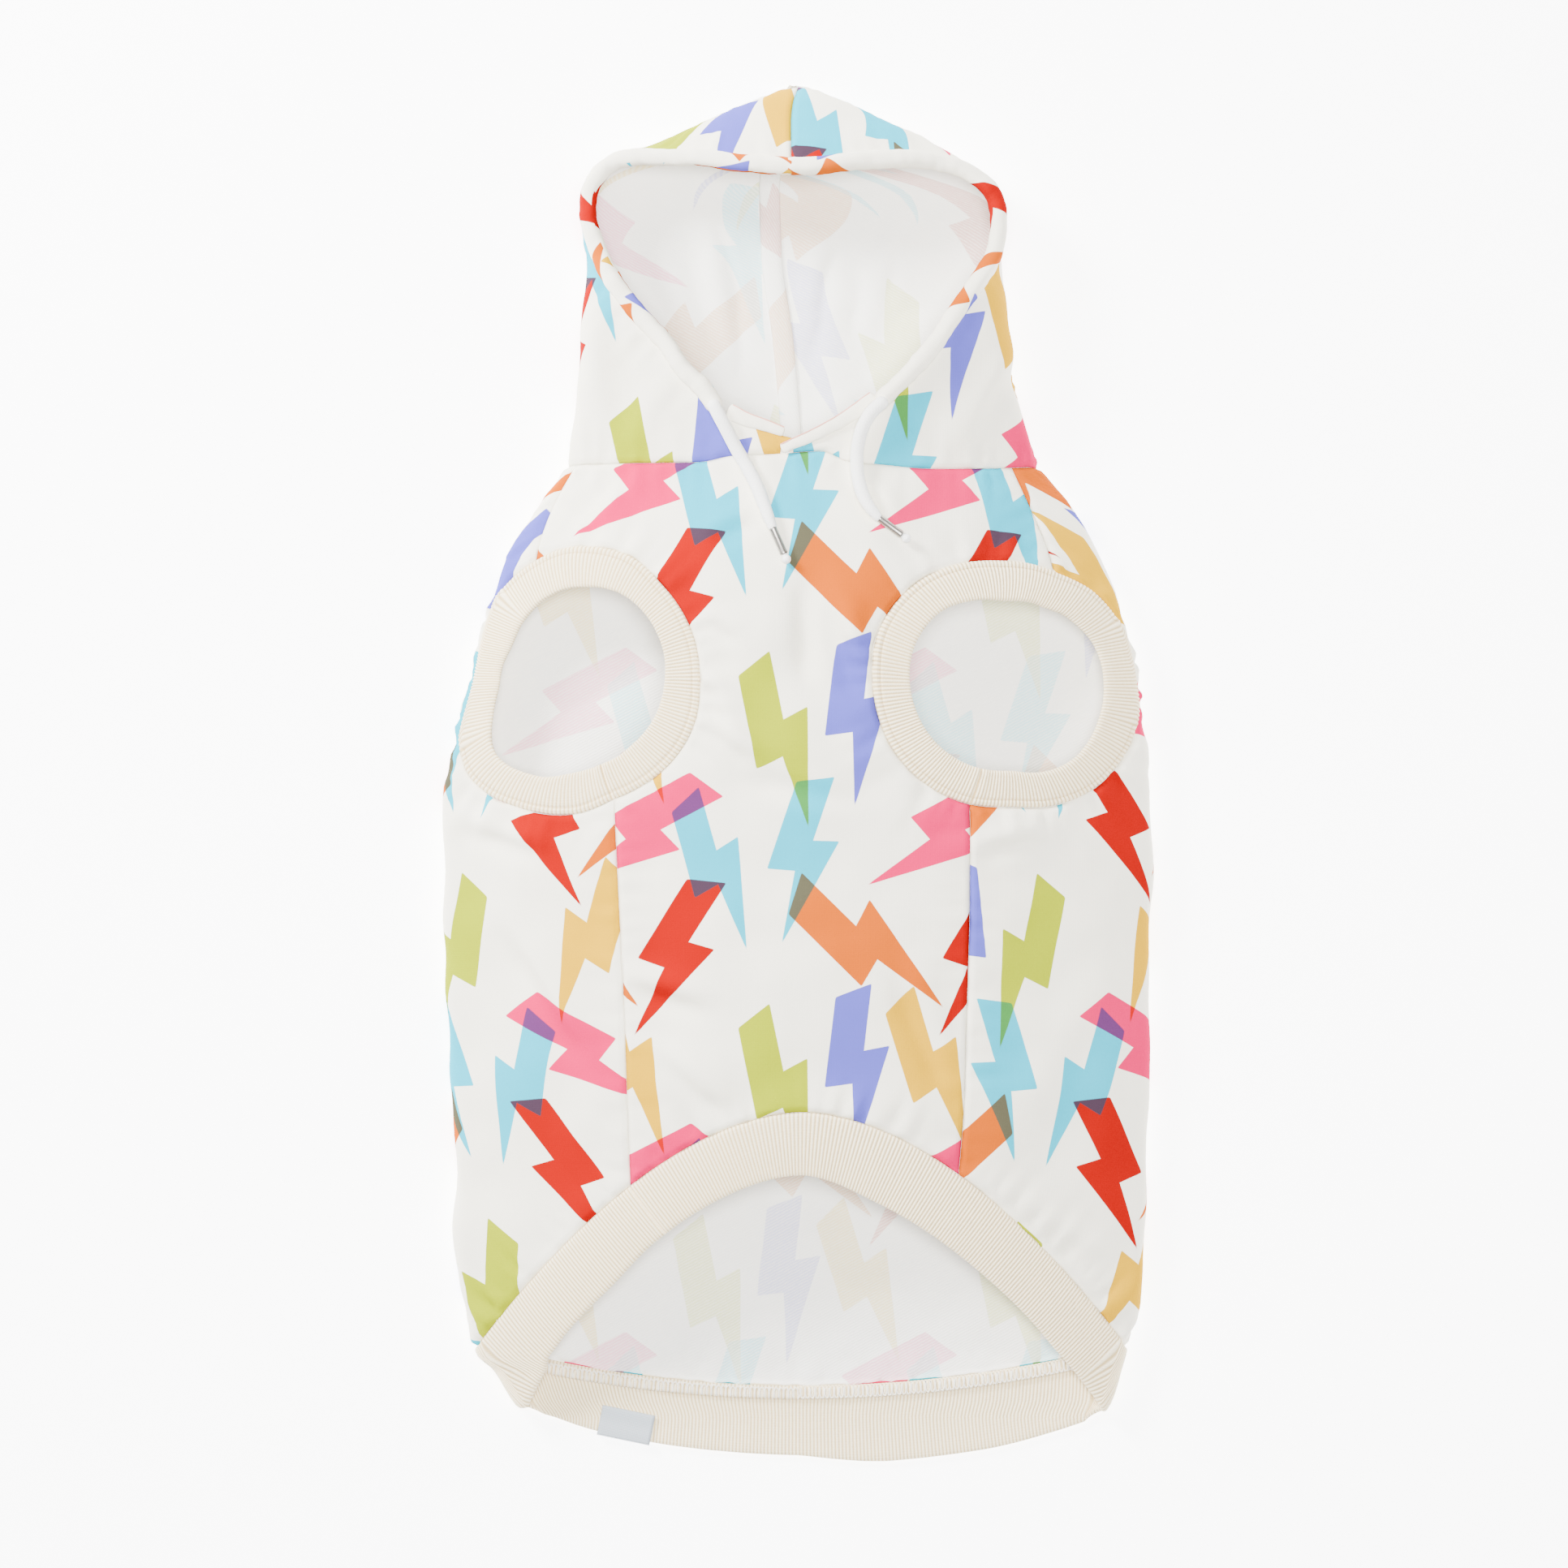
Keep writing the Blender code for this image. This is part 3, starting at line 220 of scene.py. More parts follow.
def printed_colour(tree, coordinates, ground):
    """The print's colour at a place on the cloth. Inks multiply where bolts cross, with a little haze."""
    laid = {"warm": add_node(tree, "RGB").outputs["Color"], "cool": add_node(tree, "RGB").outputs["Color"]}
    laid["warm"].default_value = linear(ground)
    laid["cool"].default_value = linear("#FFFFFF")
    covers = dict.fromkeys(laid)
    for row in bolts:
        bolt = dict(zip(bolt_names, row))
        mark = add_node(tree, "Group", {"Place": coordinates, "Middle": (bolt["across"], bolt["up"], 0.0),
                                        "Lean": np.radians(-bolt["lean"]), "Size": bolt["size"]},
                        node_tree=printed_bolt)
        kind = "cool" if bolt["ink"] in cool_inks else "warm"
        laid[kind] = add_node(tree, "Mix", {"Factor": mark.outputs["Ink"], "A": laid[kind],
                                            "B": linear(inks[bolt["ink"]])},
                              data_type="RGBA", blend_type="MULTIPLY").outputs["Result"]
        covers[kind] = mark.outputs["Ink"] if covers[kind] is None else add_node(
            tree, "Math", {0: covers[kind], 1: mark.outputs["Ink"]}, operation="MAXIMUM").outputs["Value"]
    multiplied = add_node(tree, "Mix", {"Factor": 1.0, "A": laid["warm"], "B": laid["cool"]},
                          data_type="RGBA", blend_type="MULTIPLY")
    blended = add_node(tree, "Mix", {"Factor": crossing_cool_share, "A": laid["warm"], "B": laid["cool"]},
                       data_type="RGBA")
    crossing = add_node(tree, "Math", {0: covers["warm"], 1: covers["cool"]}, operation="MULTIPLY")
    haze = add_node(tree, "Math", {0: crossing.outputs["Value"], 1: crossing_haze}, operation="MULTIPLY")
    return add_node(tree, "Mix", {"Factor": haze.outputs["Value"], "A": multiplied.outputs["Result"],
                                  "B": blended.outputs["Result"]}, data_type="RGBA").outputs["Result"]


def metres_along(tree, u_pitch, v_pitch, turn=0.0):
    """The piece's own flat coordinates in metres, turned and counted in pitches of a pattern."""
    flat = add_node(tree, "UVMap").outputs["UV"]
    turned = add_node(tree, "Mapping", {"Vector": flat, "Rotation": (0.0, 0.0, turn)})
    return add_node(tree, "VectorMath", {0: turned.outputs["Vector"], 1: (1 / u_pitch, 1 / v_pitch, 1.0)},
                    operation="MULTIPLY").outputs["Vector"]


# The face: smooth, slightly fuzzy single jersey. Its wales are 0.7 mm apart and are drawn a little coarser
# so that they show.
printed_face, tree, shader = new_material("printed_jersey_face")
flat_cloth = add_node(tree, "UVMap").outputs["UV"]
face_colour = printed_colour(tree, flat_cloth, "#FAF5E4")
mottle = add_node(tree, "TexNoise", {"Vector": metres_along(tree, 0.006, 0.010), "Scale": 1.0,
                                     "Detail": 4.0})
mottle_shade = add_node(tree, "MapRange", {"Value": mottle.outputs["Fac"], "To Min": 0.965, "To Max": 1.02})
shaded = add_node(tree, "Mix", {"Factor": 1.0, "A": face_colour, "B": mottle_shade.outputs["Result"]},
                  data_type="RGBA", blend_type="MULTIPLY")
feed(tree, shader, {"Base Color": shaded.outputs["Result"], "Roughness": 0.82,
                    "Specular IOR Level": 0.02})
wales = add_node(tree, "TexWave", {"Vector": metres_along(tree, 0.0009, 0.0009), "Scale": wave_scale,
                                   "Distortion": 0.8, "Detail": 1.0}, bands_direction="X")
courses = add_node(tree, "TexWave", {"Vector": metres_along(tree, 0.0007, 0.0007), "Scale": wave_scale,
                                     "Distortion": 0.8, "Detail": 1.0}, bands_direction="Y")
stitches = add_node(tree, "Math", {0: wales.outputs["Fac"], 1: courses.outputs["Fac"]},
                    operation="MULTIPLY")
fuzz = add_node(tree, "TexNoise", {"Vector": metres_along(tree, 0.0012, 0.0016), "Scale": 1.0,
                                   "Detail": 3.0})
knit_height = add_node(tree, "Math", {0: stitches.outputs["Value"], 1: 0.5, 2: fuzz.outputs["Fac"]},
                       operation="MULTIPLY_ADD")
knit = add_node(tree, "Bump", {"Strength": 0.30, "Distance": 0.0002,
                               "Height": knit_height.outputs["Value"]})
feed(tree, shader, {"Normal": knit.outputs["Normal"]})

# The looped side: soft white loops in slanting rows 1 mm apart, tinted where the print shows through
looped_side, tree, shader = new_material("looped_jersey_side")
flat_cloth = add_node(tree, "UVMap").outputs["UV"]
shown_through = printed_colour(tree, flat_cloth, "#FBF8EE")
rows_of_loops = add_node(tree, "TexWave", {"Vector": metres_along(tree, 0.0010, 0.0010, np.radians(62)),
                                           "Scale": wave_scale, "Distortion": 2.2, "Detail": 2.0,
                                           "Detail Scale": 1.4}, bands_direction="X")
loop_breaks = add_node(tree, "TexNoise", {"Vector": metres_along(tree, 0.0010, 0.0018, np.radians(62)),
                                          "Scale": 1.0, "Detail": 3.0})
loops = add_node(tree, "Math", {0: rows_of_loops.outputs["Fac"], 1: loop_breaks.outputs["Fac"]},
                 operation="MULTIPLY")
ghost_share = add_node(tree, "MapRange", {"Value": loops.outputs["Value"], "From Max": 0.6, "To Min": 0.50,
                                          "To Max": 0.20})
faded = add_node(tree, "Gamma", {"Color": shown_through, "Gamma": 0.55})
ghost = add_node(tree, "Mix", {"Factor": ghost_share.outputs["Result"], "A": linear("#FDFBF3"),
                               "B": faded.outputs["Color"]}, data_type="RGBA")
feed(tree, shader, {"Base Color": ghost.outputs["Result"], "Roughness": 0.95, "Sheen Weight": 0.2,
                    "Specular IOR Level": 0.2})
loop_relief = add_node(tree, "Bump", {"Strength": 0.45, "Distance": 0.0003,
                                      "Height": loops.outputs["Value"]})
feed(tree, shader, {"Normal": loop_relief.outputs["Normal"]})

# Belly panel
# The belly is one piece of the printed jersey, sewn between the two shoulder seams and the two belly seams.
# Its edges are pulled down a little into the seams, and small gathers run out from the stitching.

# The sewn hoodie is one soft tube that has settled flat on its back. A table of sections gives its width,
# height and side folds from the hem to the hood's peak, and every cloth piece is laid on that form. A place
# on it is (around, along). Around is 0 on the belly's middle line, 1 where the side fold begins, 2 where
# the back lies flat and 3 on the back's middle line, negative on the side with minus X. Along is Y.

garment_length = 2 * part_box("hood_left")[1][1]
garment_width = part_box("back_panel")[1][0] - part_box("back_panel")[0][0]
loft = 0.050
cloth = 0.0012

# Along is a share of the length, left and right are shares of the width, height and fold radius are shares
# of the loft, and lean stretches the fold sideways where the outline runs slantwise
section_names = ("along", "left", "right", "height", "fold", "lean")
sections = (
    (-0.501, 0.376, 0.424, 0.50, 0.108, 1.0),
    (-0.469, 0.378, 0.426, 0.52, 0.108, 1.0),
    (-0.456, 0.398, 0.440, 0.55, 0.110, 1.0),
    (-0.429, 0.431, 0.456, 0.62, 0.116, 1.0),
    (-0.419, 0.454, 0.463, 0.64, 0.120, 1.0),
    (-0.379, 0.473, 0.481, 0.72, 0.124, 1.0),
    (-0.290, 0.485, 0.494, 0.84, 0.130, 1.0),
    (-0.202, 0.495, 0.500, 0.92, 0.140, 1.0),
    (-0.086, 0.500, 0.500, 0.98, 0.140, 1.0),
    (-0.016, 0.497, 0.498, 1.00, 0.140, 1.0),
    (0.030, 0.482, 0.490, 1.00, 0.140, 1.0),
    (0.065, 0.464, 0.483, 1.00, 0.140, 1.0),
    (0.102, 0.449, 0.467, 1.00, 0.140, 1.0),
    (0.129, 0.431, 0.450, 0.98, 0.140, 1.0),
    (0.160, 0.413, 0.421, 0.94, 0.144, 1.0),
    (0.197, 0.363, 0.379, 0.87, 0.152, 1.0),
    (0.226, 0.324, 0.335, 0.82, 0.180, 1.0),
    (0.255, 0.313, 0.320, 0.84, 0.240, 1.0),
    (0.286, 0.308, 0.307, 0.86, 0.290, 1.0),
    (0.331, 0.301, 0.290, 0.88, 0.340, 1.0),
    (0.367, 0.295, 0.284, 0.88, 0.360, 1.0),
    (0.399, 0.305, 0.292, 0.84, 0.350, 1.0),
    (0.419, 0.302, 0.282, 0.80, 0.330, 1.0),
    (0.427, 0.298, 0.270, 0.78, 0.320, 1.1),
    (0.433, 0.292, 0.256, 0.76, 0.310, 1.25),
    (0.440, 0.280, 0.237, 0.73, 0.290, 1.5),
    (0.446, 0.262, 0.218, 0.69, 0.270, 1.8),
    (0.452, 0.216, 0.198, 0.64, 0.250, 2.1),
    (0.459, 0.184, 0.173, 0.56, 0.220, 2.3),
    (0.469, 0.146, 0.136, 0.46, 0.180, 2.4),
    (0.478, 0.112, 0.104, 0.36, 0.140, 2.4),
    (0.490, 0.060, 0.059, 0.22, 0.084, 2.2),
    (0.495, 0.036, 0.037, 0.15, 0.060, 2.0),
    (0.500, 0.016, 0.018, 0.084, 0.036, 1.7),
)
# Soft folds pressed into the upper cloth: place, direction in degrees, length, width and rise
fold_names = ("across", "along", "turn", "reach", "width", "rise")
soft_folds = (
    (0.080, 0.094, -70, 0.040, 0.026, 0.050),
    (0.030, 0.098, -85, 0.045, 0.026, -0.045),
    (-0.105, 0.060, -42, 0.026, 0.020, 0.040),
    (-0.095, 0.024, -22, 0.026, 0.018, 0.036),
    (-0.010, -0.002, -8, 0.060, 0.022, -0.040),
    (-0.343, -0.150, -56, 0.060, 0.028, 0.050),
    (-0.410, -0.040, -18, 0.040, 0.028, 0.050),
    (-0.150, -0.214, -45, 0.040, 0.034, 0.060),
    (-0.190, -0.148, -14, 0.030, 0.024, 0.036),
    (0.280, -0.046, 12, 0.036, 0.026, 0.044),
    (0.360, -0.200, 60, 0.050, 0.030, 0.030),
    (-0.205, 0.262, 62, 0.040, 0.030, 0.036),
    (0.215, 0.262, -62, 0.040, 0.030, 0.036),
    (0.090, 0.176, -50, 0.036, 0.026, 0.040),
)


def smooth_curve(keys, values):
    """A curve through the rows that never swings past them."""
    keys = np.array(keys, float)
    values = np.array(values, float)
    step = np.diff(keys)
    slope = np.diff(values) / step
    tangent = np.concatenate([slope[:1], np.zeros(len(keys) - 2), slope[-1:]])
    for i in range(1, len(keys) - 1):
        if slope[i - 1] * slope[i] > 0:
            before = 2 * step[i] + step[i - 1]
            after = step[i] + 2 * step[i - 1]
            tangent[i] = (before + after) / (before / slope[i - 1] + after / slope[i])

    def read(at):
        at = np.clip(at, keys[0], keys[-1])
        i = np.clip(np.searchsorted(keys, at, side="right") - 1, 0, len(step) - 1)
        t = (at - keys[i]) / step[i]
        low = (1 + 2 * t) * (1 - t) ** 2 * values[i] + t * (1 - t) ** 2 * step[i] * tangent[i]
        high = t * t * (3 - 2 * t) * values[i + 1] + t * t * (t - 1) * step[i] * tangent[i + 1]
        return low + high

    return read


def unit(vectors):
    """Vectors of length one."""
    return vectors / np.linalg.norm(vectors, axis=-1, keepdims=True)


def run_along(points):
    """Distance along a line of points, from its start to each point."""
    return np.concatenate([[0.0], np.cumsum(np.linalg.norm(np.diff(points, axis=0), axis=1))])


def points_at(at, run, points):
    """Points of a line at the given distances along it."""
    return np.stack([np.interp(at, run, column) for column in points.T], axis=1)


def section_curves():
    """One smooth curve for each column of the table of sections, in metres."""
    columns = np.array(sections, float).T
    sizes = (garment_width, garment_width, loft, loft, 1.0)
    keys = columns[0] * garment_length
    return {name: smooth_curve(keys, columns[i + 1] * sizes[i]) for i, name in enumerate(section_names[1:])}


section = section_curves()
fold_limit = 0.46
# The soft folds fade out round the side fold
fold_fade_end = 1.3
fold_fade_run = 0.5


def section_at(side, along, inset=0.0):
    """Crown circle, fold circle and flat half width of one half of a section."""
    half = np.where(side < 0, section["left"](along), section["right"](along))
    lean = section["lean"](along)
    height = section["height"](along) - 2 * inset
    fold = np.minimum(section["fold"](along) - inset, fold_limit * height)
    flat = half / lean - inset - fold
    crown = (flat ** 2 + (height - fold) ** 2 - fold ** 2) / (2 * (height - 2 * fold))
    turn = np.arcsin(np.clip(flat / (crown - fold), 0.0, 1.0))
    return lean, height, fold, flat, crown, turn


def fold_height(x, y):
    """Rise of the soft folds above the smooth form."""
    rise = np.zeros(np.broadcast(x, y).shape)
    for row in soft_folds:
        fold = dict(zip(fold_names, row))
        angle = np.radians(fold["turn"])
        dx = x - fold["across"] * garment_width
        dy = y - fold["along"] * garment_length
        run = (dx * np.cos(angle) + dy * np.sin(angle)) / (fold["reach"] * garment_length)
        side = (dy * np.cos(angle) - dx * np.sin(angle)) / (fold["width"] * garment_width)
        rise = rise + fold["rise"] * loft * np.exp(-run ** 2 - side ** 2)
    return rise


def place(around, along, inset=0.0):
    """Points in space for places on the form, or on its inner face at an inset."""
    around = np.asarray(around, float)
    along = np.asarray(along, float)
    side = np.where(around < 0, -1.0, 1.0)
    part = np.abs(around)
    lean, height, fold, flat, crown, turn = section_at(side, along, inset)
    on_crown = part * turn
    on_fold = turn + (part - 1) * (np.pi - turn)
    x = np.where(part <= 1, crown * np.sin(on_crown), flat + fold * np.sin(on_fold))
    x = np.where(part <= 2, x, flat * (3 - part)) * side * lean
    z = np.where(part <= 1, height - crown + crown * np.cos(on_crown), fold + fold * np.cos(on_fold))
    z = np.where(part <= 2, z, 0.0)
    fade = np.clip((fold_fade_end - part) / fold_fade_run, 0.0, 1.0)
    z = z + inset + fold_height(x, along) * fade * fade * (3 - 2 * fade)
    return np.stack([x, along + 0.0 * x, z], axis=-1)


def on_top(x, along):
    """Place on the upper side of the form that lies straight above a point."""
    side = np.where(x < 0, -1.0, 1.0)
    lean, height, fold, flat, crown, turn = section_at(side, along)
    across = np.abs(x) / lean
    on_crown = np.arcsin(np.clip(across / crown, 0.0, 1.0)) / turn
    on_fold = 1 + (np.arcsin(np.clip((across - flat) / fold, 0.0, 1.0)) - turn) / (np.pi - turn)
    return side * np.where(on_crown <= 1, on_crown, on_fold)


def top_places(x, along):
    """Places on the upper side of the form that lie straight above a line of points."""
    return np.stack([on_top(x, along), along], axis=1)


def upper_half(around, along):
    """True for places above the outermost line of the side fold."""
    turn = section_at(np.sign(around), along)[-1]
    return np.abs(around) < 1 + (np.pi / 2 - turn) / (np.pi - turn)


def girth_parts(side, along):
    """Cloth length over the crown, round the fold and on the floor at one side of a section."""
    lean, height, fold, flat, crown, turn = section_at(side, along)
    return crown * turn * lean, fold * (np.pi - turn) * (1 + lean) / 2, flat * lean


def girth(around, along):
    """Distance over the cloth from the belly's middle line."""
    side = np.where(around < 0, -1.0, 1.0)
    part = np.abs(around)
    top, bend, floor = girth_parts(side, along)
    run = np.minimum(part, 1) * top + np.clip(part - 1, 0, 1) * bend + np.maximum(part - 2, 0) * floor
    return side * run


def around_at(run, along):
    """Place around the form at a distance over the cloth from the belly's middle line."""
    side = np.where(run < 0, -1.0, 1.0)
    top, bend, floor = girth_parts(side, along)
    left = np.abs(run)
    part = np.minimum(left / top, 1) + np.clip((left - top) / bend, 0, 1)
    return side * (part + np.maximum(left - top - bend, 0) / floor)


def surface_frame(places):
    """Directions around and along the cloth at the given places, and its outward normal."""
    nudge = 1e-3
    reach = nudge * garment_length
    around, along = places[:, 0], places[:, 1]
    by_around = (place(around + nudge, along) - place(around - nudge, along)) / (2 * nudge)
    by_along = (place(around, along + reach) - place(around, along - reach)) / (2 * reach)
    return by_around, by_along, unit(np.cross(by_around, by_along))


seam_gap = 0.0001
edge_step = 0.0016
shortest_edge = 0.0003
# Points of the flat cut, in a grid and in rings beside the edge, and how near they may come to it
cloth_grid = 0.0023
grid_row_share = 0.87
grid_room = 0.45
edge_rings = (0.0007, 0.0015, 0.0027)
ring_room = 0.93
solve_steps = 80
# Each piece is cut from another place in the roll
roll_shift = (0.137, 0.081)
seam_dip = 0.0010
seam_dip_width = 0.0017
# Spacing, reach, length and strength of the gathers, and the edge points over which one kind eases into
# the next
gather_pitch = 0.0042
gather_reach = 0.0042
gather_length = 0.030
gather_rise = 1.6
gather_ease = 6
# Height of the gathers a few millimetres from each kind of edge
gathers = {"neck": 0.0010, "shoulder": 0.0005, "leg": 0.0014, "belly": 0.0005, "hem": 0.0012,
           "rim": 0.0006, "throat": 0.0002, "top": 0.0004, "tip": 0.0001, "back": 0.0004}
tucked_edges = ("rim", "throat")
# Size and height of the cloth's soft unevenness, and the run over which a seam holds it flat
uneven = ((0.042, 0.0025), (0.018, 0.0012))
uneven_from = 0.010
# Each piece's unevenness and gathers are shifted by its number times these
noise_shifts = (7.1, 3.3, 5.7)
# Where the cloth comes down to the table, its unevenness only goes up
floor_from = 1.5
floor_run = 0.4
# Creases from one end to the other, in metres, each a furrow with a lower ridge along its side
crease_names = ("start_x", "start_y", "stop_x", "stop_y", "width", "height", "on_table")
creases = (
    (0.0085, 0.067, 0.0100, 0.034, 0.0041, 0.0025, False),
    (0.0170, 0.061, 0.0270, 0.032, 0.0039, 0.0023, False),
    (-0.0360, 0.043, -0.0220, 0.016, 0.0034, 0.0023, False),
    (-0.0380, 0.024, -0.0150, 0.009, 0.0032, 0.0022, False),
    (-0.0360, 0.060, -0.0200, 0.052, 0.0032, 0.0020, False),
    (-0.0200, 0.003, 0.0200, -0.004, 0.0039, 0.0020, False),
    (-0.1220, -0.016, -0.0930, -0.025, 0.0037, 0.0025, False),
    (-0.1040, -0.056, -0.0760, -0.100, 0.0046, 0.0025, False),
    (-0.0650, -0.072, -0.0330, -0.081, 0.0039, 0.0022, False),
    (-0.0460, -0.100, -0.0230, -0.122, 0.0039, 0.0023, False),
    (0.0620, -0.025, 0.0880, -0.019, 0.0034, 0.0023, False),
    (0.0740, -0.152, 0.1100, -0.176, 0.0046, 0.0029, False),
    (0.0420, -0.070, 0.0600, -0.112, 0.0046, 0.0022, False),
    (-0.0330, 0.090, -0.0180, 0.096, 0.0034, 0.0022, False),
    (0.0230, 0.112, 0.0360, 0.096, 0.0039, 0.0023, False),
    (-0.0560, 0.112, -0.0780, 0.090, 0.0041, 0.0022, False),
    (-0.0700, 0.126, -0.0780, 0.168, 0.0046, 0.0023, False),
    (0.0620, 0.128, 0.0800, 0.160, 0.0046, 0.0023, False),
    (-0.0270, 0.216, -0.0170, 0.150, 0.0050, 0.0022, True),
    (0.0160, 0.200, 0.0110, 0.150, 0.0050, 0.0022, True),
    (-0.0420, 0.196, -0.0300, 0.160, 0.0050, 0.0018, True),
    (0.0440, 0.206, 0.0320, 0.160, 0.0050, 0.0018, True),
)
crease_table_height = 0.010
# Height of the ridge as a share of the furrow's depth, and its distance from it in widths
crease_ridge = 0.5
crease_ridge_shift = 1.7
# The hood's tip is pressed together by its seam, from and to these shares of the length
peak_pressed = (0.488, sections[-1][0])
peak_closing = 0.36
peak_middle = 0.0020

# Seam lines as (along, across) shares, from the hem towards the peak
shoulder_left = ((0.140, -0.372), (0.164, -0.366), (0.175, -0.360), (0.195, -0.345), (0.223, -0.315))
shoulder_right = ((0.140, 0.362), (0.166, 0.348), (0.183, 0.334), (0.204, 0.316), (0.223, 0.299))
belly_seam_left = ((-0.293, -0.234), (-0.249, -0.237), (-0.173, -0.242), (-0.086, -0.250), (-0.010, -0.257))
belly_seam_right = ((-0.287, 0.223), (-0.232, 0.231), (-0.173, 0.234), (-0.086, 0.238), (-0.010, 0.238))
# Neck seam as (across, along) shares, past the half width on the back
neck_seam = (
    (-0.330, 0.223), (-0.140, 0.222), (-0.091, 0.226), (-0.036, 0.227), (0.032, 0.229),
    (0.071, 0.222), (0.120, 0.220), (0.178, 0.218), (0.251, 0.219), (0.340, 0.222),
)
# The hem's upper edge rises to an arch on the belly and sags on the back
hem_arch_top = -0.240
hem_arch_drop = 0.175
hem_arch_power = 1.8
hem_arch_middle = 0.005
hem_arch_span = 0.460
hem_back_sag = 0.030
# Leg openings: degrees round the opening, the seam's radius as a share of the width and the band's width
# as a share of its full one
leg_names = ("turn", "radius", "band")
leg_centres = {-1: (-0.313, 0.067), 1: (0.292, 0.063)}
leg_shapes = {
    -1: (
        (0, 0.177, 0.90), (22, 0.178, 0.84), (45, 0.180, 0.83), (68, 0.189, 1.00),
        (90, 0.187, 1.07), (112, 0.176, 1.02), (135, 0.164, 1.00), (158, 0.150, 0.86),
        (180, 0.150, 0.78), (202, 0.180, 0.98), (225, 0.203, 0.92), (248, 0.194, 0.92),
        (270, 0.187, 1.06), (292, 0.175, 0.94), (315, 0.178, 1.02), (338, 0.180, 1.00),
    ),
    1: (
        (0, 0.190, 0.94), (22, 0.187, 0.90), (45, 0.183, 0.98), (68, 0.174, 0.98),
        (90, 0.174, 1.04), (112, 0.182, 1.02), (135, 0.192, 0.98), (158, 0.196, 1.00),
        (180, 0.190, 0.96), (202, 0.186, 0.98), (225, 0.181, 0.98), (248, 0.175, 0.96),
        (270, 0.169, 0.92), (292, 0.180, 0.92), (315, 0.191, 0.96), (338, 0.195, 1.02),
    ),
}
leg_rib_width = 0.0145
leg_outline_gap = 0.0012
leg_mean_radius = 0.18
side_words = {-1: "left", 1: "right"}
# Where the shoulder and belly seams run into the leg openings, in degrees round them
shoulder_turn = {-1: 108.0, 1: 69.0}
belly_turn = {-1: 289.0, 1: 252.0}


def seam_curve(rows):
    """Where a seam lies across the garment, for each height along it."""
    along, across = np.array(rows, float).T
    return smooth_curve(along * garment_length, across * garment_width)


def ring_curve(side, column, size):
    """A smooth curve round a leg opening that closes on itself."""
    rows = leg_shapes[side]
    turn = [row[0] for row in rows]
    values = [row[leg_names.index(column)] * size for row in rows]
    turn = [turn[-2] - 360, turn[-1] - 360] + turn + [turn[0] + 360, turn[1] + 360]
    return smooth_curve(turn, values[-2:] + values + values[:2])


shoulder = {-1: seam_curve(shoulder_left), 1: seam_curve(shoulder_right)}
belly_seam = {-1: seam_curve(belly_seam_left), 1: seam_curve(belly_seam_right)}
neck_line = smooth_curve([row[0] * garment_width for row in neck_seam],
                         [row[1] * garment_length for row in neck_seam])
leg_radius = {side: ring_curve(side, "radius", garment_width) for side in (-1, 1)}
leg_band = {side: ring_curve(side, "band", leg_rib_width) for side in (-1, 1)}


def neck_rule(x, upper):
    """Height along the garment of the neck seam."""
    return np.where(upper, neck_line(x), neck_line(np.abs(x) + garment_width))


def hem_rule(x, upper):
    """Height along the garment of the seam where the hem rib begins."""
    share = np.abs(x - hem_arch_middle * garment_width) / (hem_arch_span * garment_width)
    share = np.minimum(share, 1.0)
    front = hem_arch_top - hem_arch_drop * share ** hem_arch_power
    back = hem_arch_top - hem_arch_drop - hem_back_sag * (1 - share ** 2)
    return np.where(upper, front, back) * garment_length


def follow(around, rule, shift):
    """Places on the form where an edge rule crosses the given lines around it."""
    around = np.asarray(around, float)
    along = rule(np.zeros(len(around)), True)
    for _ in range(solve_steps):
        along = 0.5 * (along + rule(place(around, along)[:, 0], upper_half(around, along)))
    return np.stack([around, along + shift], axis=1)


def leg_places(side, turns, inward, shift=0.0):
    """Places on the form round a leg opening, moved inward by a share of the band's width."""
    radius = leg_radius[side](turns % 360.0) - inward * leg_band[side](turns % 360.0) + shift
    x = leg_centres[side][0] * garment_width + radius * np.cos(np.radians(turns))
    y = leg_centres[side][1] * garment_length + radius * np.sin(np.radians(turns))
    half = section[side_words[side]](y)
    x = side * np.minimum(side * x, half - leg_outline_gap + shift)
    return top_places(x, y)


def leg_corner(side, seam, guess, shift):
    """Degrees round a leg opening at which a seam runs into it."""
    turns = np.linspace(guess - 25.0, guess + 25.0, 1001)
    radius = leg_radius[side](turns % 360.0)
    x = leg_centres[side][0] * garment_width + radius * np.cos(np.radians(turns))
    y = leg_centres[side][1] * garment_length + radius * np.sin(np.radians(turns))
    return turns[np.argmin(np.abs(x - seam(y) - shift))]


def steps(start, stop, size=edge_step):
    """Number of points on a stretch of a piece's edge."""
    return max(3, int(round(abs(stop - start) / size)) + 1)


def seam_places(seam, shift, start, stop):
    """Places along a seam on the upper side between two heights, without its two ends."""
    along = np.linspace(start, stop, steps(start, stop))[1:-1]
    return top_places(seam(along) + shift, along)


def seam_end(seam, shift, rule):
    """Height at which a seam on the upper side meets the neck or the hem."""
    along = rule(seam(0.0), True)
    for _ in range(solve_steps):
        along = rule(seam(along) + shift, True)
    return float(along)


def upper_edge(rule, start, stop, shift):
    """Places along the neck or the hem on the upper side, both ends included."""
    x = np.linspace(start, stop, steps(start, stop))
    along = rule(x, True) + shift
    return top_places(x, along)


def round_edge(rule, start, stop, shift):
    """Places along the neck or the hem on the way round one side, both ends included."""
    run = abs(stop - start) * garment_width / 3
    return follow(np.linspace(start, stop, steps(0.0, run)), rule, shift)


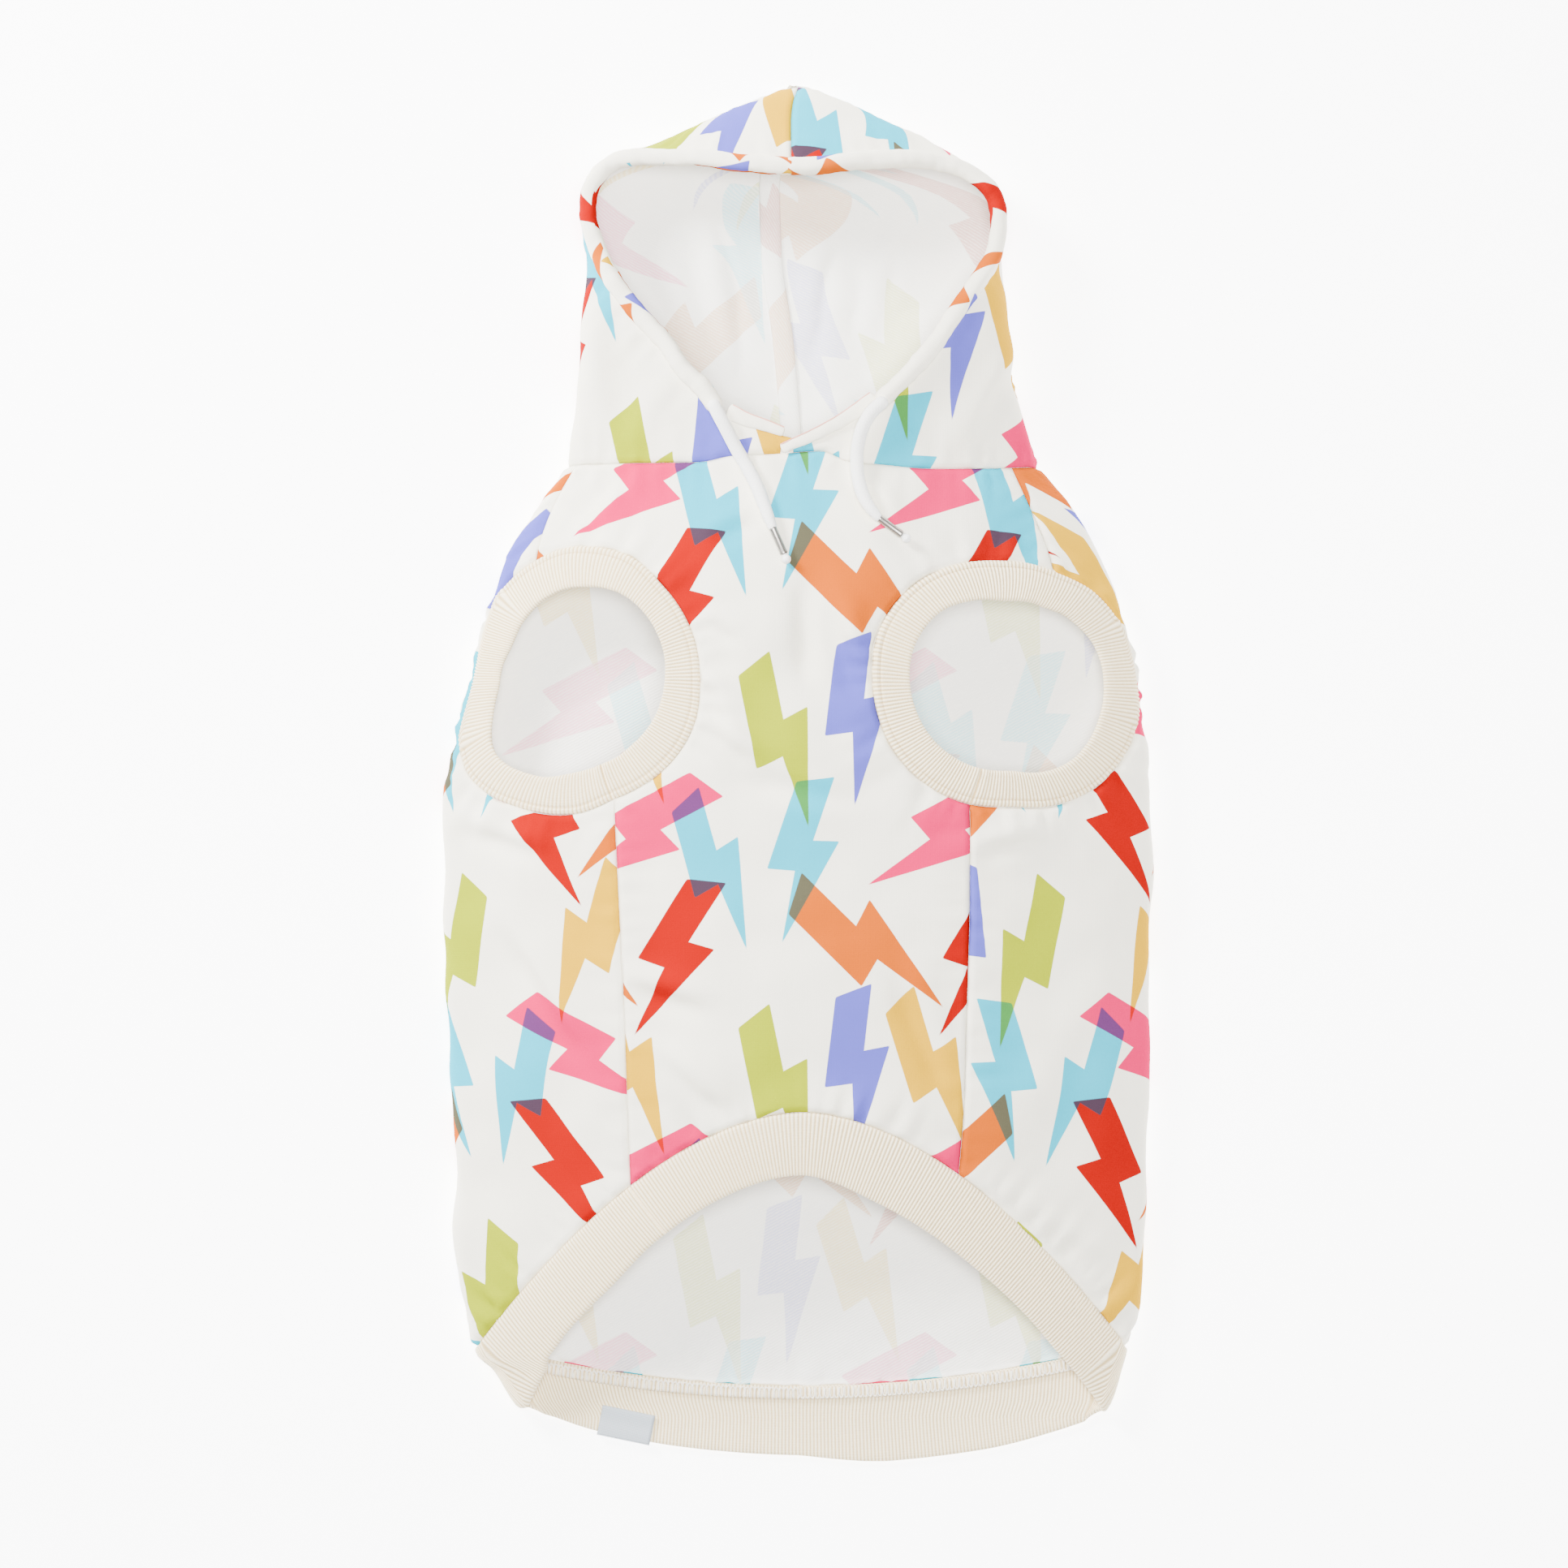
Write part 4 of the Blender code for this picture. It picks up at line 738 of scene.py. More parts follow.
def side_of_body(side, gap, belly):
    """One side of a body panel, from the neck down the shoulder, round the leg and to the hem."""
    neck = seam_end(shoulder[side], gap, neck_rule)
    hem = seam_end(belly_seam[side], gap, hem_rule)
    start = leg_corner(side, shoulder[side], shoulder_turn[side], gap)
    stop = leg_corner(side, belly_seam[side], belly_turn[side], gap)
    if belly == (side < 0):
        stop -= 360.0
    turns = np.linspace(start, stop, steps(0.0, np.radians(stop - start) * leg_mean_radius * garment_width))
    arc = leg_places(side, turns, 0.0)
    stretches = [("shoulder", seam_places(shoulder[side], gap, neck, arc[0, 1])), ("leg", arc),
                 ("belly", seam_places(belly_seam[side], gap, arc[-1, 1], hem))]
    return stretches, neck, hem


def backwards(stretches):
    """The same stretches of an edge, walked the other way."""
    return [(kind, places[::-1]) for kind, places in stretches[::-1]]


def flat_places(places, from_back):
    """Where places on the form lie in the flat cut, in metres."""
    run = girth(places[:, 0], places[:, 1])
    if from_back:
        side = np.where(run < 0, -1.0, 1.0)
        run = side * sum(girth_parts(side, places[:, 1])) - run
    return np.stack([run, places[:, 1]], axis=1)


def form_places(flat, from_back):
    """Where points of the flat cut lie on the form."""
    run = flat[:, 0]
    if from_back:
        side = np.where(run < 0, -1.0, 1.0)
        run = side * sum(girth_parts(side, flat[:, 1])) - run
    return np.stack([around_at(run, flat[:, 1]), flat[:, 1]], axis=1)


def inside_outline(points, outline):
    """True for points inside a closed outline in the plane."""
    found = np.zeros(len(points), bool)
    x, y = points.T
    for (x1, y1), (x2, y2) in zip(outline, np.roll(outline, -1, axis=0)):
        if y1 != y2:
            crossed = ((y1 <= y) != (y2 <= y)) & (x < x1 + (y - y1) / (y2 - y1) * (x2 - x1))
            found ^= crossed
    return found


def edge_reader(outline, strength):
    """A reader of flat points' distance to the edge, their run along it and the gathers there."""
    parts = 4
    window = 2 * gather_ease + 1
    ahead = np.roll(outline, -1, axis=0) - outline
    dense = (outline[:, None] + ahead[:, None] * (np.arange(parts) / parts)[None, :, None]).reshape(-1, 2)
    run = run_along(dense)
    wrapped = np.concatenate([strength[-gather_ease:], strength, strength[:gather_ease]])
    eased = np.convolve(wrapped, np.ones(window) / window, "valid")
    tree = kdtree.KDTree(len(dense))
    for i, (x, y) in enumerate(dense):
        tree.insert((x, y, 0.0), i)
    tree.balance()

    def read(points):
        found = [tree.find((x, y, 0.0))[1:] for x, y in points]
        nearest = np.array([i for i, _ in found])
        return np.array([gap for _, gap in found]), run[nearest], eased[nearest // parts]

    return read


def crease_height(points):
    """Height of the creases at places on the cloth."""
    height = np.zeros(len(points))
    low = points[:, 2] < crease_table_height
    for row in creases:
        crease = dict(zip(crease_names, row))
        start = np.array((crease["start_x"], crease["start_y"]))
        ahead = np.array((crease["stop_x"], crease["stop_y"])) - start
        length = np.linalg.norm(ahead)
        ahead = ahead / length
        shift = points[:, :2] - start
        run = (shift[:, 0] * ahead[0] + shift[:, 1] * ahead[1]) / length * 2 - 1
        side = (shift[:, 0] * ahead[1] - shift[:, 1] * ahead[0]) / crease["width"]
        profile = crease_ridge * np.exp(-side ** 2) - np.exp(-(side - crease_ridge_shift) ** 2)
        height += crease["height"] * profile * np.exp(-run ** 4) * (low == crease["on_table"])
    return height


def cloth_relief(points, distance, run, gather, seed):
    """Height of the cloth over its form: creases, gathers at the seams and the dip into them."""
    height = crease_height(points) * np.clip(distance / uneven_from, 0.0, 1.0)
    held_flat = 1 - np.exp(-(distance / uneven_from) ** 2)
    for size, rise in uneven:
        shift = Vector((seed * noise_shifts[0], seed * noise_shifts[1], 0.0))
        waves = np.array([noise.noise(Vector(point) / size + shift) for point in points])
        height += rise * held_flat * waves
    pucker = np.array([noise.noise(Vector((r / gather_pitch, d / gather_length, seed * noise_shifts[2])))
                       for r, d in zip(run, distance)])
    height += gather_rise * gather * pucker * distance / gather_reach * np.exp(1 - distance / gather_reach)
    share = np.clip(1 - distance / seam_dip_width, 0.0, 1.0)
    return height - seam_dip * share * share * (3 - 2 * share)


def closed_peak(points):
    """The hood's tip, where upper and lower cloth are pressed together by the seam."""
    start, stop = (share * garment_length for share in peak_pressed)
    share = np.clip((points[:, 1] - start) / (stop - start), 0.0, 1.0)
    points[:, 2] = peak_middle + (points[:, 2] - peak_middle) * (1 - peak_closing * share * share)
    return points


def turning(outline):
    """Twice the area inside a closed outline, below zero where it runs clockwise."""
    x, y = outline.T
    return np.sum(x * np.roll(y, -1) - y * np.roll(x, -1))


def inner_points(outline, read):
    """Points of the flat cut inside its edge, in rings beside it and then in an even grid."""
    ahead = np.roll(outline, -1, axis=0) - np.roll(outline, 1, axis=0)
    inward = unit(np.stack([-ahead[:, 1], ahead[:, 0]], axis=1)) * np.sign(turning(outline))
    rings = np.concatenate([outline + inward * depth for depth in edge_rings])
    low, high = outline.min(axis=0), outline.max(axis=0)
    across = np.arange(low[0], high[0], cloth_grid)
    up = np.arange(low[1], high[1], cloth_grid * grid_row_share)
    grid = np.stack(np.meshgrid(across, up), axis=-1)
    grid[1::2, :, 0] += cloth_grid / 2
    grid = grid.reshape(-1, 2)
    points = np.concatenate([rings, grid])
    room = np.concatenate([np.repeat(edge_rings, len(outline)) * ring_room,
                           np.full(len(grid), edge_rings[-1] + cloth_grid * grid_room)])
    return points[inside_outline(points, outline) & (read(points)[0] > room)]


def flat_triangles(flat, count):
    """Triangles between the points of a flat cut, whose first points are its edge in order."""
    border = [(i, (i + 1) % count) for i in range(count)]
    plane = [Vector(point) for point in flat]
    triangles, sources = delaunay_2d_cdt(plane, border, [list(range(count))], 1, 1e-7)[2:4]
    source = [ids[0] for ids in sources]
    return np.array([[source[i] for i in triangle] for triangle in triangles])


def lay_flat(mesh, layer, flat):
    """Give every corner of a mesh its vertex's flat coordinates."""
    corner = np.empty(len(mesh.loops), np.int32)
    mesh.loops.foreach_get("vertex_index", corner)
    layer.data.foreach_set("uv", flat[corner].astype(np.float32).reshape(-1))


def select_only(piece):
    """Make a piece the only selected object and the active one."""
    bpy.ops.object.select_all(action="DESELECT")
    piece.select_set(True)
    bpy.context.view_layer.objects.active = piece


def cut_out(name, points, triangles, flat):
    """The cloth's outer face as an object, with its place in the roll as its flat coordinates."""
    mesh = bpy.data.meshes.new(name)
    mesh.from_pydata(points.tolist(), [], triangles.tolist())
    lay_flat(mesh, mesh.uv_layers.new(name="flat_cut"), flat)
    mesh.materials.append(printed_face)
    mesh.materials.append(looped_side)
    piece = bpy.data.objects.new(name, mesh)
    bpy.context.scene.collection.objects.link(piece)
    return piece


def cloth_piece(name, stretches, seed, from_back=False):
    """A piece of printed jersey cut along its edges, laid on the form and given its thickness."""
    places = np.concatenate([part for _, part in stretches])
    strength = np.concatenate([np.full(len(part), gathers[kind]) for kind, part in stretches])
    dips = np.concatenate([np.full(len(part), float(kind not in tucked_edges)) for kind, part in stretches])
    outline = flat_places(places, from_back)
    apart = np.linalg.norm(outline - np.roll(outline, 1, axis=0), axis=1) > shortest_edge
    places, strength, dips, outline = places[apart], strength[apart], dips[apart], outline[apart]
    read = edge_reader(outline, strength)
    inner = inner_points(outline, read)
    flat = np.concatenate([outline, inner])
    distance, run, gather = read(flat)
    distance[:len(outline)] = 0.0
    spots = np.concatenate([places, form_places(inner, from_back)])
    points = place(*spots.T)
    normal = surface_frame(spots)[2]
    tuck = 1 - np.concatenate([dips, edge_reader(outline, dips)(inner)[2]])
    height = cloth_relief(points, distance, run, gather, seed)
    height += seam_dip * tuck * np.clip(1 - distance / seam_dip_width, 0.0, 1.0)
    on_floor = np.clip((np.abs(spots[:, 0]) - floor_from) / floor_run, 0.0, 1.0)
    height = height * (1 - on_floor) - np.abs(height) * on_floor
    points = closed_peak(points + normal * height[:, None])
    triangles = flat_triangles(flat, len(outline))
    a, b, c = points[triangles[:, 0]], points[triangles[:, 1]], points[triangles[:, 2]]
    if np.sum(np.cross(b - a, c - a) * normal[triangles[:, 0]]) < 0:
        triangles = triangles[:, ::-1]
    piece = cut_out(name, points, triangles, flat + np.array(roll_shift) * seed)
    select_only(piece)
    thickness = piece.modifiers.new("thickness", "SOLIDIFY")
    thickness.thickness = cloth
    thickness.offset = -1.0
    thickness.material_offset = 1
    thickness.material_offset_rim = 0
    bpy.ops.object.modifier_apply(modifier="thickness")
    bpy.ops.object.shade_smooth()
    for vertex in piece.data.vertices:
        vertex.co.z = max(vertex.co.z, 0.0)
    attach(piece, "root")
    return piece


half_gap = seam_gap / 2
left, left_neck, left_hem = side_of_body(-1, half_gap, True)
right, right_neck, right_hem = side_of_body(1, -half_gap, True)
neck_edge = upper_edge(neck_rule, shoulder[-1](left_neck) + half_gap, shoulder[1](right_neck) - half_gap,
                       -half_gap)
hem_edge = upper_edge(hem_rule, belly_seam[1](right_hem) - half_gap, belly_seam[-1](left_hem) + half_gap,
                      half_gap)
stretches = [("neck", neck_edge)] + right + [("hem", hem_edge)] + backwards(left)
belly = cloth_piece("belly_panel_jersey", stretches, seed=1)
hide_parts("belly_panel")

# Back panel
# The back and both flanks are one piece, from one belly seam round underneath to the other. It lies flat on
# the table and folds up at the sides.

left, left_neck, left_hem = side_of_body(-1, -half_gap, False)
right, right_neck, right_hem = side_of_body(1, half_gap, False)
back_edges = {}
for side, neck, hem in ((-1, left_neck, left_hem), (1, right_neck, right_hem)):
    neck_start = float(on_top(shoulder[side](neck) + side * half_gap, neck - half_gap))
    hem_start = float(on_top(belly_seam[side](hem) + side * half_gap, hem + half_gap))
    back_edges[side] = (round_edge(neck_rule, neck_start, side * 3.0, -half_gap),
                        round_edge(hem_rule, hem_start, side * 3.0, half_gap))
stretches = [("neck", back_edges[-1][0]), ("neck", back_edges[1][0][::-1])] + right
stretches += [("hem", back_edges[1][1]), ("hem", back_edges[-1][1][::-1])] + backwards(left)
back = cloth_piece("back_panel_jersey", stretches, seed=2, from_back=True)
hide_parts("back_panel")

# Hood
# The hood is two mirrored halves of the same jersey, joined by a seam over the back of the head to its
# peak. It lies open, so its looped inside and the seam along its middle show through the mouth.

hood_back_seam = (
    (0.220, 0.001), (0.264, -0.004), (0.320, -0.014), (0.376, -0.029), (0.427, -0.032),
    (0.460, -0.022), (0.478, -0.012), (0.495, -0.003), (0.500, 0.000),
)
hood_top_seam = ((0.420, -0.008), (0.446, -0.010), (0.470, -0.010), (0.487, -0.007), (0.500, 0.000))
# Hood edge and throat as (across, along) shares of the two main sizes
rim_shares = {
    -1: (
        (-0.116, 0.263), (-0.133, 0.275), (-0.156, 0.286), (-0.182, 0.305), (-0.204, 0.317),
        (-0.236, 0.336), (-0.272, 0.363), (-0.289, 0.385), (-0.296, 0.402), (-0.294, 0.417),
        (-0.281, 0.430), (-0.257, 0.440), (-0.226, 0.443), (-0.185, 0.442), (-0.133, 0.440),
        (-0.083, 0.436), (-0.010, 0.433),
    ),
    1: (
        (0.117, 0.267), (0.155, 0.286), (0.186, 0.304), (0.220, 0.329), (0.250, 0.351),
        (0.274, 0.370), (0.281, 0.383), (0.282, 0.400), (0.277, 0.412), (0.260, 0.424),
        (0.230, 0.434), (0.195, 0.439), (0.158, 0.440), (0.112, 0.439), (0.063, 0.436),
        (0.022, 0.433), (-0.010, 0.433),
    ),
}
front_band_shares = {
    -1: ((-0.094, 0.257), (-0.074, 0.252), (-0.044, 0.247), (-0.022, 0.243)),
    1: ((0.103, 0.266), (0.057, 0.250), (0.019, 0.240), (-0.008, 0.234), (-0.021, 0.231)),
}
# How far the hood's cloth reaches under the bands and the casing, and how near it comes to its other edges
band_reach = 0.0017
rim_reach = 0.0030
throat_overlap = 0.05
corner_gap = 0.0008
tip_columns = 13


def on_back(x, along, side):
    """Place on the flat back, counted from the given side, also a little past its middle."""
    lean, height, fold, flat, crown, turn = section_at(side, along)
    return side * (3 - side * x / (lean * flat))


def smooth_path(points, step):
    """Evenly spaced points on a smooth curve through the given points."""
    points = np.array(points, float)
    knots = run_along(points[:, :2])
    slopes = np.gradient(points, knots, axis=0)
    dense = np.linspace(0.0, knots[-1], 40 * len(points))
    i = np.clip(np.searchsorted(knots, dense, side="right") - 1, 0, len(knots) - 2)
    gap = (knots[i + 1] - knots[i])[:, None]
    t = ((dense - knots[i])[:, None]) / gap
    curve = (1 + 2 * t) * (1 - t) ** 2 * points[i] + t * (1 - t) ** 2 * gap * slopes[i]
    curve += t * t * (3 - 2 * t) * points[i + 1] + t * t * (t - 1) * gap * slopes[i + 1]
    run = run_along(curve[:, :2])
    even = np.linspace(0.0, run[-1], max(3, int(round(run[-1] / step)) + 1))
    return points_at(even, run, curve)


def top_path(shares, step):
    """Places on the upper side along a route given in shares of the width and length."""
    route = smooth_path([(a * garment_width, b * garment_length) for a, b in shares], step)
    return top_places(*route.T)


def beside(places, distance):
    """Places beside a line on the cloth, to its left when seen from outside."""
    points = place(*places.T)
    heading = unit(np.gradient(points, axis=0))
    moved = places.copy()
    parts = 6
    for _ in range(parts):
        by_around, by_along, normal = surface_frame(moved)
        sideways = np.cross(normal, heading)
        sideways *= (np.broadcast_to(distance, len(places)) / parts)[:, None]
        aa = np.sum(by_around * by_around, axis=1)
        ab = np.sum(by_around * by_along, axis=1)
        bb = np.sum(by_along * by_along, axis=1)
        sa = np.sum(sideways * by_around, axis=1)
        sb = np.sum(sideways * by_along, axis=1)
        scale = aa * bb - ab * ab
        moved = moved + np.stack([(sa * bb - sb * ab) / scale, (sb * aa - sa * ab) / scale], axis=1)
    return moved


back_seam = seam_curve(hood_back_seam)
top_seam = seam_curve(hood_top_seam)
rim_lines = {side: top_path(rim_shares[side], edge_step) for side in (-1, 1)}
band_lines = {side: top_path(front_band_shares[side], edge_step) for side in (-1, 1)}


def clear_of(places, other, distance):
    """The places that keep a distance from another line on the cloth."""
    points = place(*places.T)
    others = place(*other.T)
    gaps = np.linalg.norm(points[:, None] - others[None], axis=2).min(axis=1)
    return places[gaps >= distance]


def throat_edge(side):
    """Edge of a hood half from the neck seam up to where the casing begins."""
    lower = band_lines[1][::-1]
    if side < 0:
        beside_lower = clear_of(beside(lower, band_reach), band_lines[-1], band_reach)
        beside_lower = beside_lower[beside_lower[:, 0] < band_lines[-1][-1, 0] + throat_overlap]
        beside_own = clear_of(beside(band_lines[-1][::-1], band_reach), band_lines[1], band_reach)
        edge = np.concatenate([beside_lower, beside_own])
        corner = place(*edge[0])[0] - band_reach / 4
    else:
        edge = beside(lower, -band_reach)
        edge = edge[edge[:, 1] > neck_rule(place(*edge.T)[:, 0], True) + corner_gap]
        corner = place(*edge[0])[0]
    along = float(neck_rule(corner, True)) + half_gap
    return np.concatenate([[(float(on_top(corner, along)), along)], edge])


def hood_half(side):
    """One half of the hood, from the top seam round the side fold to the back seam."""
    gap = side * half_gap
    peak = sections[-1][0] * garment_length
    throat = throat_edge(side)
    rim = beside(rim_lines[side], -side * rim_reach)
    meets = rim[-1, 1]
    rim = rim[np.abs(place(*rim.T)[:, 0] - top_seam(rim[:, 1])) > corner_gap]
    top_rows = np.linspace(meets, peak, steps(meets, peak))
    top = top_places(top_seam(top_rows) + gap, top_rows)
    start = float(on_top(top_seam(peak) + gap, peak))
    stop = float(on_back(back_seam(peak) + gap, peak, side))
    tip_around = np.linspace(start, stop, tip_columns)[1:-1]
    tip = np.stack([tip_around, np.full(len(tip_around), peak)], axis=1)
    neck = float(neck_rule(0.0, False)) + half_gap
    back_rows = np.linspace(peak, neck, steps(peak, neck))
    back_line = np.stack([on_back(back_seam(back_rows) + gap, back_rows, side), back_rows], axis=1)
    neck_line_places = round_edge(neck_rule, back_line[-1, 0], throat[0, 0], half_gap)
    word = side_words[side]
    piece = cloth_piece("hood_" + word + "_jersey",
                        [("throat", throat), ("rim", rim), ("top", top), ("tip", tip), ("back", back_line),
                         ("neck", neck_line_places)], seed=3.5 + side * 0.5)
    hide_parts("hood_" + word)


for side in (-1, 1):
    hood_half(side)

# Hood edge casing
# The hood's edge is turned over into a soft tube for the drawcord and stitched down along its base. It is
# plump, with small puckers where the stitching pulls it in, and it opens where the cord comes out.

casing_width = 0.0066
casing_lift = 0.0026
casing_lift_run = 0.040
casing_step = 0.0010
casing_ring = 30
casing_flat = 0.96
casing_sunk = 0.00075
# Puckers across the roll and a slower swell along it
pucker_pitch = 0.0034
pucker_height = 0.00040
swell_pitch = 0.016
swell_height = 0.00045
noise_round = 0.9
noise_up = 0.6
# Points nearer than this are sewn into one, and a roll's ends are rounded over these degrees
sewn_within = 0.000002
end_rounding = (0.0, 20.0, 42.0, 66.0)


def above(places, height):
    """Points in space at a height over the cloth."""
    return place(*places.T) + surface_frame(places)[2] * np.reshape(height, (-1, 1))


def sewn_grid(name, points, coordinates, material):
    """A flat grid of cloth bent onto a table of points, with the edges that meet sewn together."""
    rows, columns = points.shape[:2]
    bpy.ops.object.select_all(action="DESELECT")
    bpy.ops.mesh.primitive_grid_add(x_subdivisions=columns - 1, y_subdivisions=rows - 1, size=1.0)
    piece = bpy.context.object
    piece.name = name
    mesh = piece.data
    mesh.vertices.foreach_set("co", np.asarray(points, np.float32).reshape(-1))
    lay_flat(mesh, mesh.uv_layers.active, coordinates.reshape(-1, 2))
    bpy.ops.object.mode_set(mode="EDIT")
    bpy.ops.mesh.select_all(action="SELECT")
    bpy.ops.mesh.remove_doubles(threshold=sewn_within)
    bpy.ops.mesh.normals_make_consistent(inside=False)
    bpy.ops.object.mode_set(mode="OBJECT")
    bpy.ops.object.shade_smooth()
    mesh.materials.append(material)
    return piece


def rolled_length(name, centres, up, wide, high, material, ring=20, relief=0.0, pitch=1.0):
    """A round or flattened roll along a line, with rounded ends. Relief stands out from its skin.

    Its first flat coordinate counts pitches along the run.
    """
    count = len(centres)
    run = run_along(centres)
    wide = np.broadcast_to(wide, count)
    high = np.broadcast_to(high, count)
    relief = np.broadcast_to(relief, (count, ring + 1))
    along = unit(np.gradient(centres, axis=0))
    sideways = unit(np.cross(along, up))
    up = np.cross(sideways, along)
    round_off = np.radians(end_rounding)
    rows = [(0, -np.cos(a), np.sin(a)) for a in round_off] + [(i, 0.0, 1.0) for i in range(count)]
    rows += [(count - 1, np.cos(a), np.sin(a)) for a in round_off[::-1]]
    angle = np.linspace(0.0, 2 * np.pi, ring + 1)
    points = np.empty((len(rows), ring + 1, 3))
    coordinates = np.empty((len(rows), ring + 1, 2))
    for row, (i, push, share) in enumerate(rows):
        reach = (high[i] / 2 * share + relief[i] * share)[:, None]
        breadth = (wide[i] / 2 * share + relief[i] * share)[:, None]
        skin = np.cos(angle)[:, None] * sideways[i] * breadth + np.sin(angle)[:, None] * up[i] * reach
        points[row] = centres[i] + along[i] * push * high[i] / 2 + skin
        coordinates[row, :, 0] = (run[i] + push * high[i] / 2) / pitch
        coordinates[row, :, 1] = angle * wide[i] / 2
    points[:, -1] = points[:, 0]
    return sewn_grid(name, points, coordinates, material)


def casing(side):
    """Half of the hood's edge casing, from the cord's exit to the top seam."""
    rim = top_path(rim_shares[side], casing_step)
    rim[-1, 0] = on_top(top_seam(rim[-1, 1]) + side * half_gap, rim[-1, 1])
    run = np.arange(len(rim)) * casing_step
    share = np.clip(1 - run / casing_lift_run, 0.0, 1.0)
    centres = above(rim, casing_lift * share * share * (3 - 2 * share) - casing_sunk)
    angle = np.linspace(0.0, 2 * np.pi, casing_ring + 1)
    rolled = np.stack([np.cos(angle), np.sin(angle)], axis=1) * noise_round
    relief = np.empty((len(rim), casing_ring + 1))
    for i, r in enumerate(run):
        for j, (x, y) in enumerate(rolled):
            base = 0.5 + 0.5 * abs(x)
            pull = noise.noise(Vector((r / pucker_pitch, side * 4.0, y * noise_up)))
            swell = noise.noise(Vector((r / swell_pitch, x, y + side * 9.0)))
            relief[i, j] = pucker_height * base * pull + swell_height * swell
    up = surface_frame(rim)[2]
    piece = rolled_length("casing_" + side_words[side] + "_rolled", centres, up, casing_width,
                          casing_width * casing_flat, printed_face, ring=casing_ring, relief=relief)
    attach(piece, "root")
    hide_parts("casing_" + side_words[side])


for side in (-1, 1):
    casing(side)

# Front bands
# Below the casing the two front edges of the hood are narrow folded bands of the same jersey. They cross at
# the throat, the right one over the left, and a salmon thread is caught along the upper edge of each.

band_height = 0.0024
band_visible = 0.0060
# Each band narrows to this share, and the right one lies a little higher
band_narrow = 0.62
band_rest = 0.0002
band_over = 0.0006
band_ring = 20
band_uneven = 0.00025
band_uneven_pitch = 0.004
thread_width = 0.00045
thread_beside = 0.46
thread_lift = 0.0005
# Spun polyester thread: matt salmon, with a twist every 0.4 mm that shows as slanting plies
salmon_thread, tree, shader = new_material("salmon_polyester_thread")
feed(tree, shader, {"Base Color": linear("#E9A08E"), "Roughness": 0.6})
twist = add_node(tree, "TexWave", {"Vector": metres_along(tree, 0.0004, 0.0004, np.radians(40)),
                                   "Scale": wave_scale}, bands_direction="X")
ply = add_node(tree, "Bump", {"Strength": 0.5, "Distance": 0.0001, "Height": twist.outputs["Fac"]})
feed(tree, shader, {"Normal": ply.outputs["Normal"]})

for side in (-1, 1):
    word = side_words[side]
    line = top_path(front_band_shares[side], casing_step)
    count = len(line)
    narrow = np.interp(np.arange(count), (0, count - 1), (1.0, band_narrow))
    height = band_rest + (band_over if side > 0 else 0.0)
    up = surface_frame(line)[2]
    relief = np.empty((count, band_ring + 1))
    for i in range(count):
        for j in range(band_ring + 1):
            spot = Vector((i * casing_step / band_uneven_pitch, side * 3.0, j / 6))
            relief[i, j] = band_uneven * noise.noise(spot)
    band = rolled_length("front_band_" + word + "_folded", above(line, height), up, band_visible * narrow,
                         band_height * narrow, printed_face, ring=band_ring, relief=relief)
    edge = beside(line, side * -band_visible * thread_beside * narrow)
    thread = rolled_length("front_band_" + word + "_thread", above(edge, height + thread_lift), up,
                           thread_width, thread_width, salmon_thread, ring=8)
    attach(band, "root")
    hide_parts("front_band_" + word)
    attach(thread, "root")

# Leg ribs
# Each leg opening is finished with a folded band of cream cotton rib, sewn on a little stretched so that it
# stands up round the hole. Its ribs run across the band, 1.35 mm apart.

rib_knit = 0.0026
rib_pitch = 0.00135
rib_columns = 6
rib_relief = 0.00045
rib_bulge = 0.0006
leg_rib_lift = 0.0014
# Part of the ribs' relief inside the band's thickness, and their height on its inner side as a share
relief_sunk = 0.6
inner_relief = 0.7
lowest_rib = 0.0002
# The folded edges roll over these degrees, and plain rows lie between them
edge_roll = 0.0013
edge_turns = (0.0, 28.0, 56.0, 90.0)
plain_rows = 10
# The band is a little uneven, and where its ends are joined it has a groove between two ridges
wander_height = 0.0004
wander_pitch = 0.011
join_depth = 0.0012
join_width = 0.0005
join_ridge = 1.6
join_ridge_from = 0.0022
join_ridge_width = 0.0016
# The seam behind a leg rib is stitched down through it, in a line that sinks in a little
stitch_line = 0.0026
stitch_width = 0.0004
stitch_depth = 0.00035
stitch_rows = (-1.6, -0.7, 0.0, 0.7, 1.6)
# Flat coordinates of cloth without the line lie beyond it
unstitched_shift = 0.030
# Rib-knitted cotton: matt warm cream, with painted shade in each furrow and a slightly uneven yarn
rib_cloth, tree, shader = new_material("cream_cotton_rib")
rib_place = add_node(tree, "UVMap").outputs["UV"]
rib_parts = add_node(tree, "SeparateXYZ", {"Vector": rib_place}).outputs
# The cream darkens towards the furrow between ribs: painted shade, beside the ribs' real relief
whole_turns = add_node(tree, "Math", {0: rib_parts["X"], 1: 2 * np.pi}, operation="MULTIPLY")
crest = add_node(tree, "Math", {0: whole_turns.outputs["Value"]}, operation="COSINE")
unshaded_crest_share = add_node(tree, "MapRange", {"Value": crest.outputs["Value"], "From Min": -1.0,
                                          "From Max": 0.4})
rib_tone_and_furrow_shade = add_node(tree, "Mix", {"Factor": unshaded_crest_share.outputs["Result"], "A": linear("#D2B885"),
                                  "B": linear("#FFF1D0")}, data_type="RGBA")
off_line = add_node(tree, "Math", {0: rib_parts["Y"], 1: stitch_line}, operation="SUBTRACT")
from_line = add_node(tree, "Math", {0: off_line.outputs["Value"]}, operation="ABSOLUTE")
on_line = add_node(tree, "MapRange", {"Value": from_line.outputs["Value"], "From Min": 0.0001,
                                      "From Max": stitch_width, "To Min": 0.45, "To Max": 0.0})
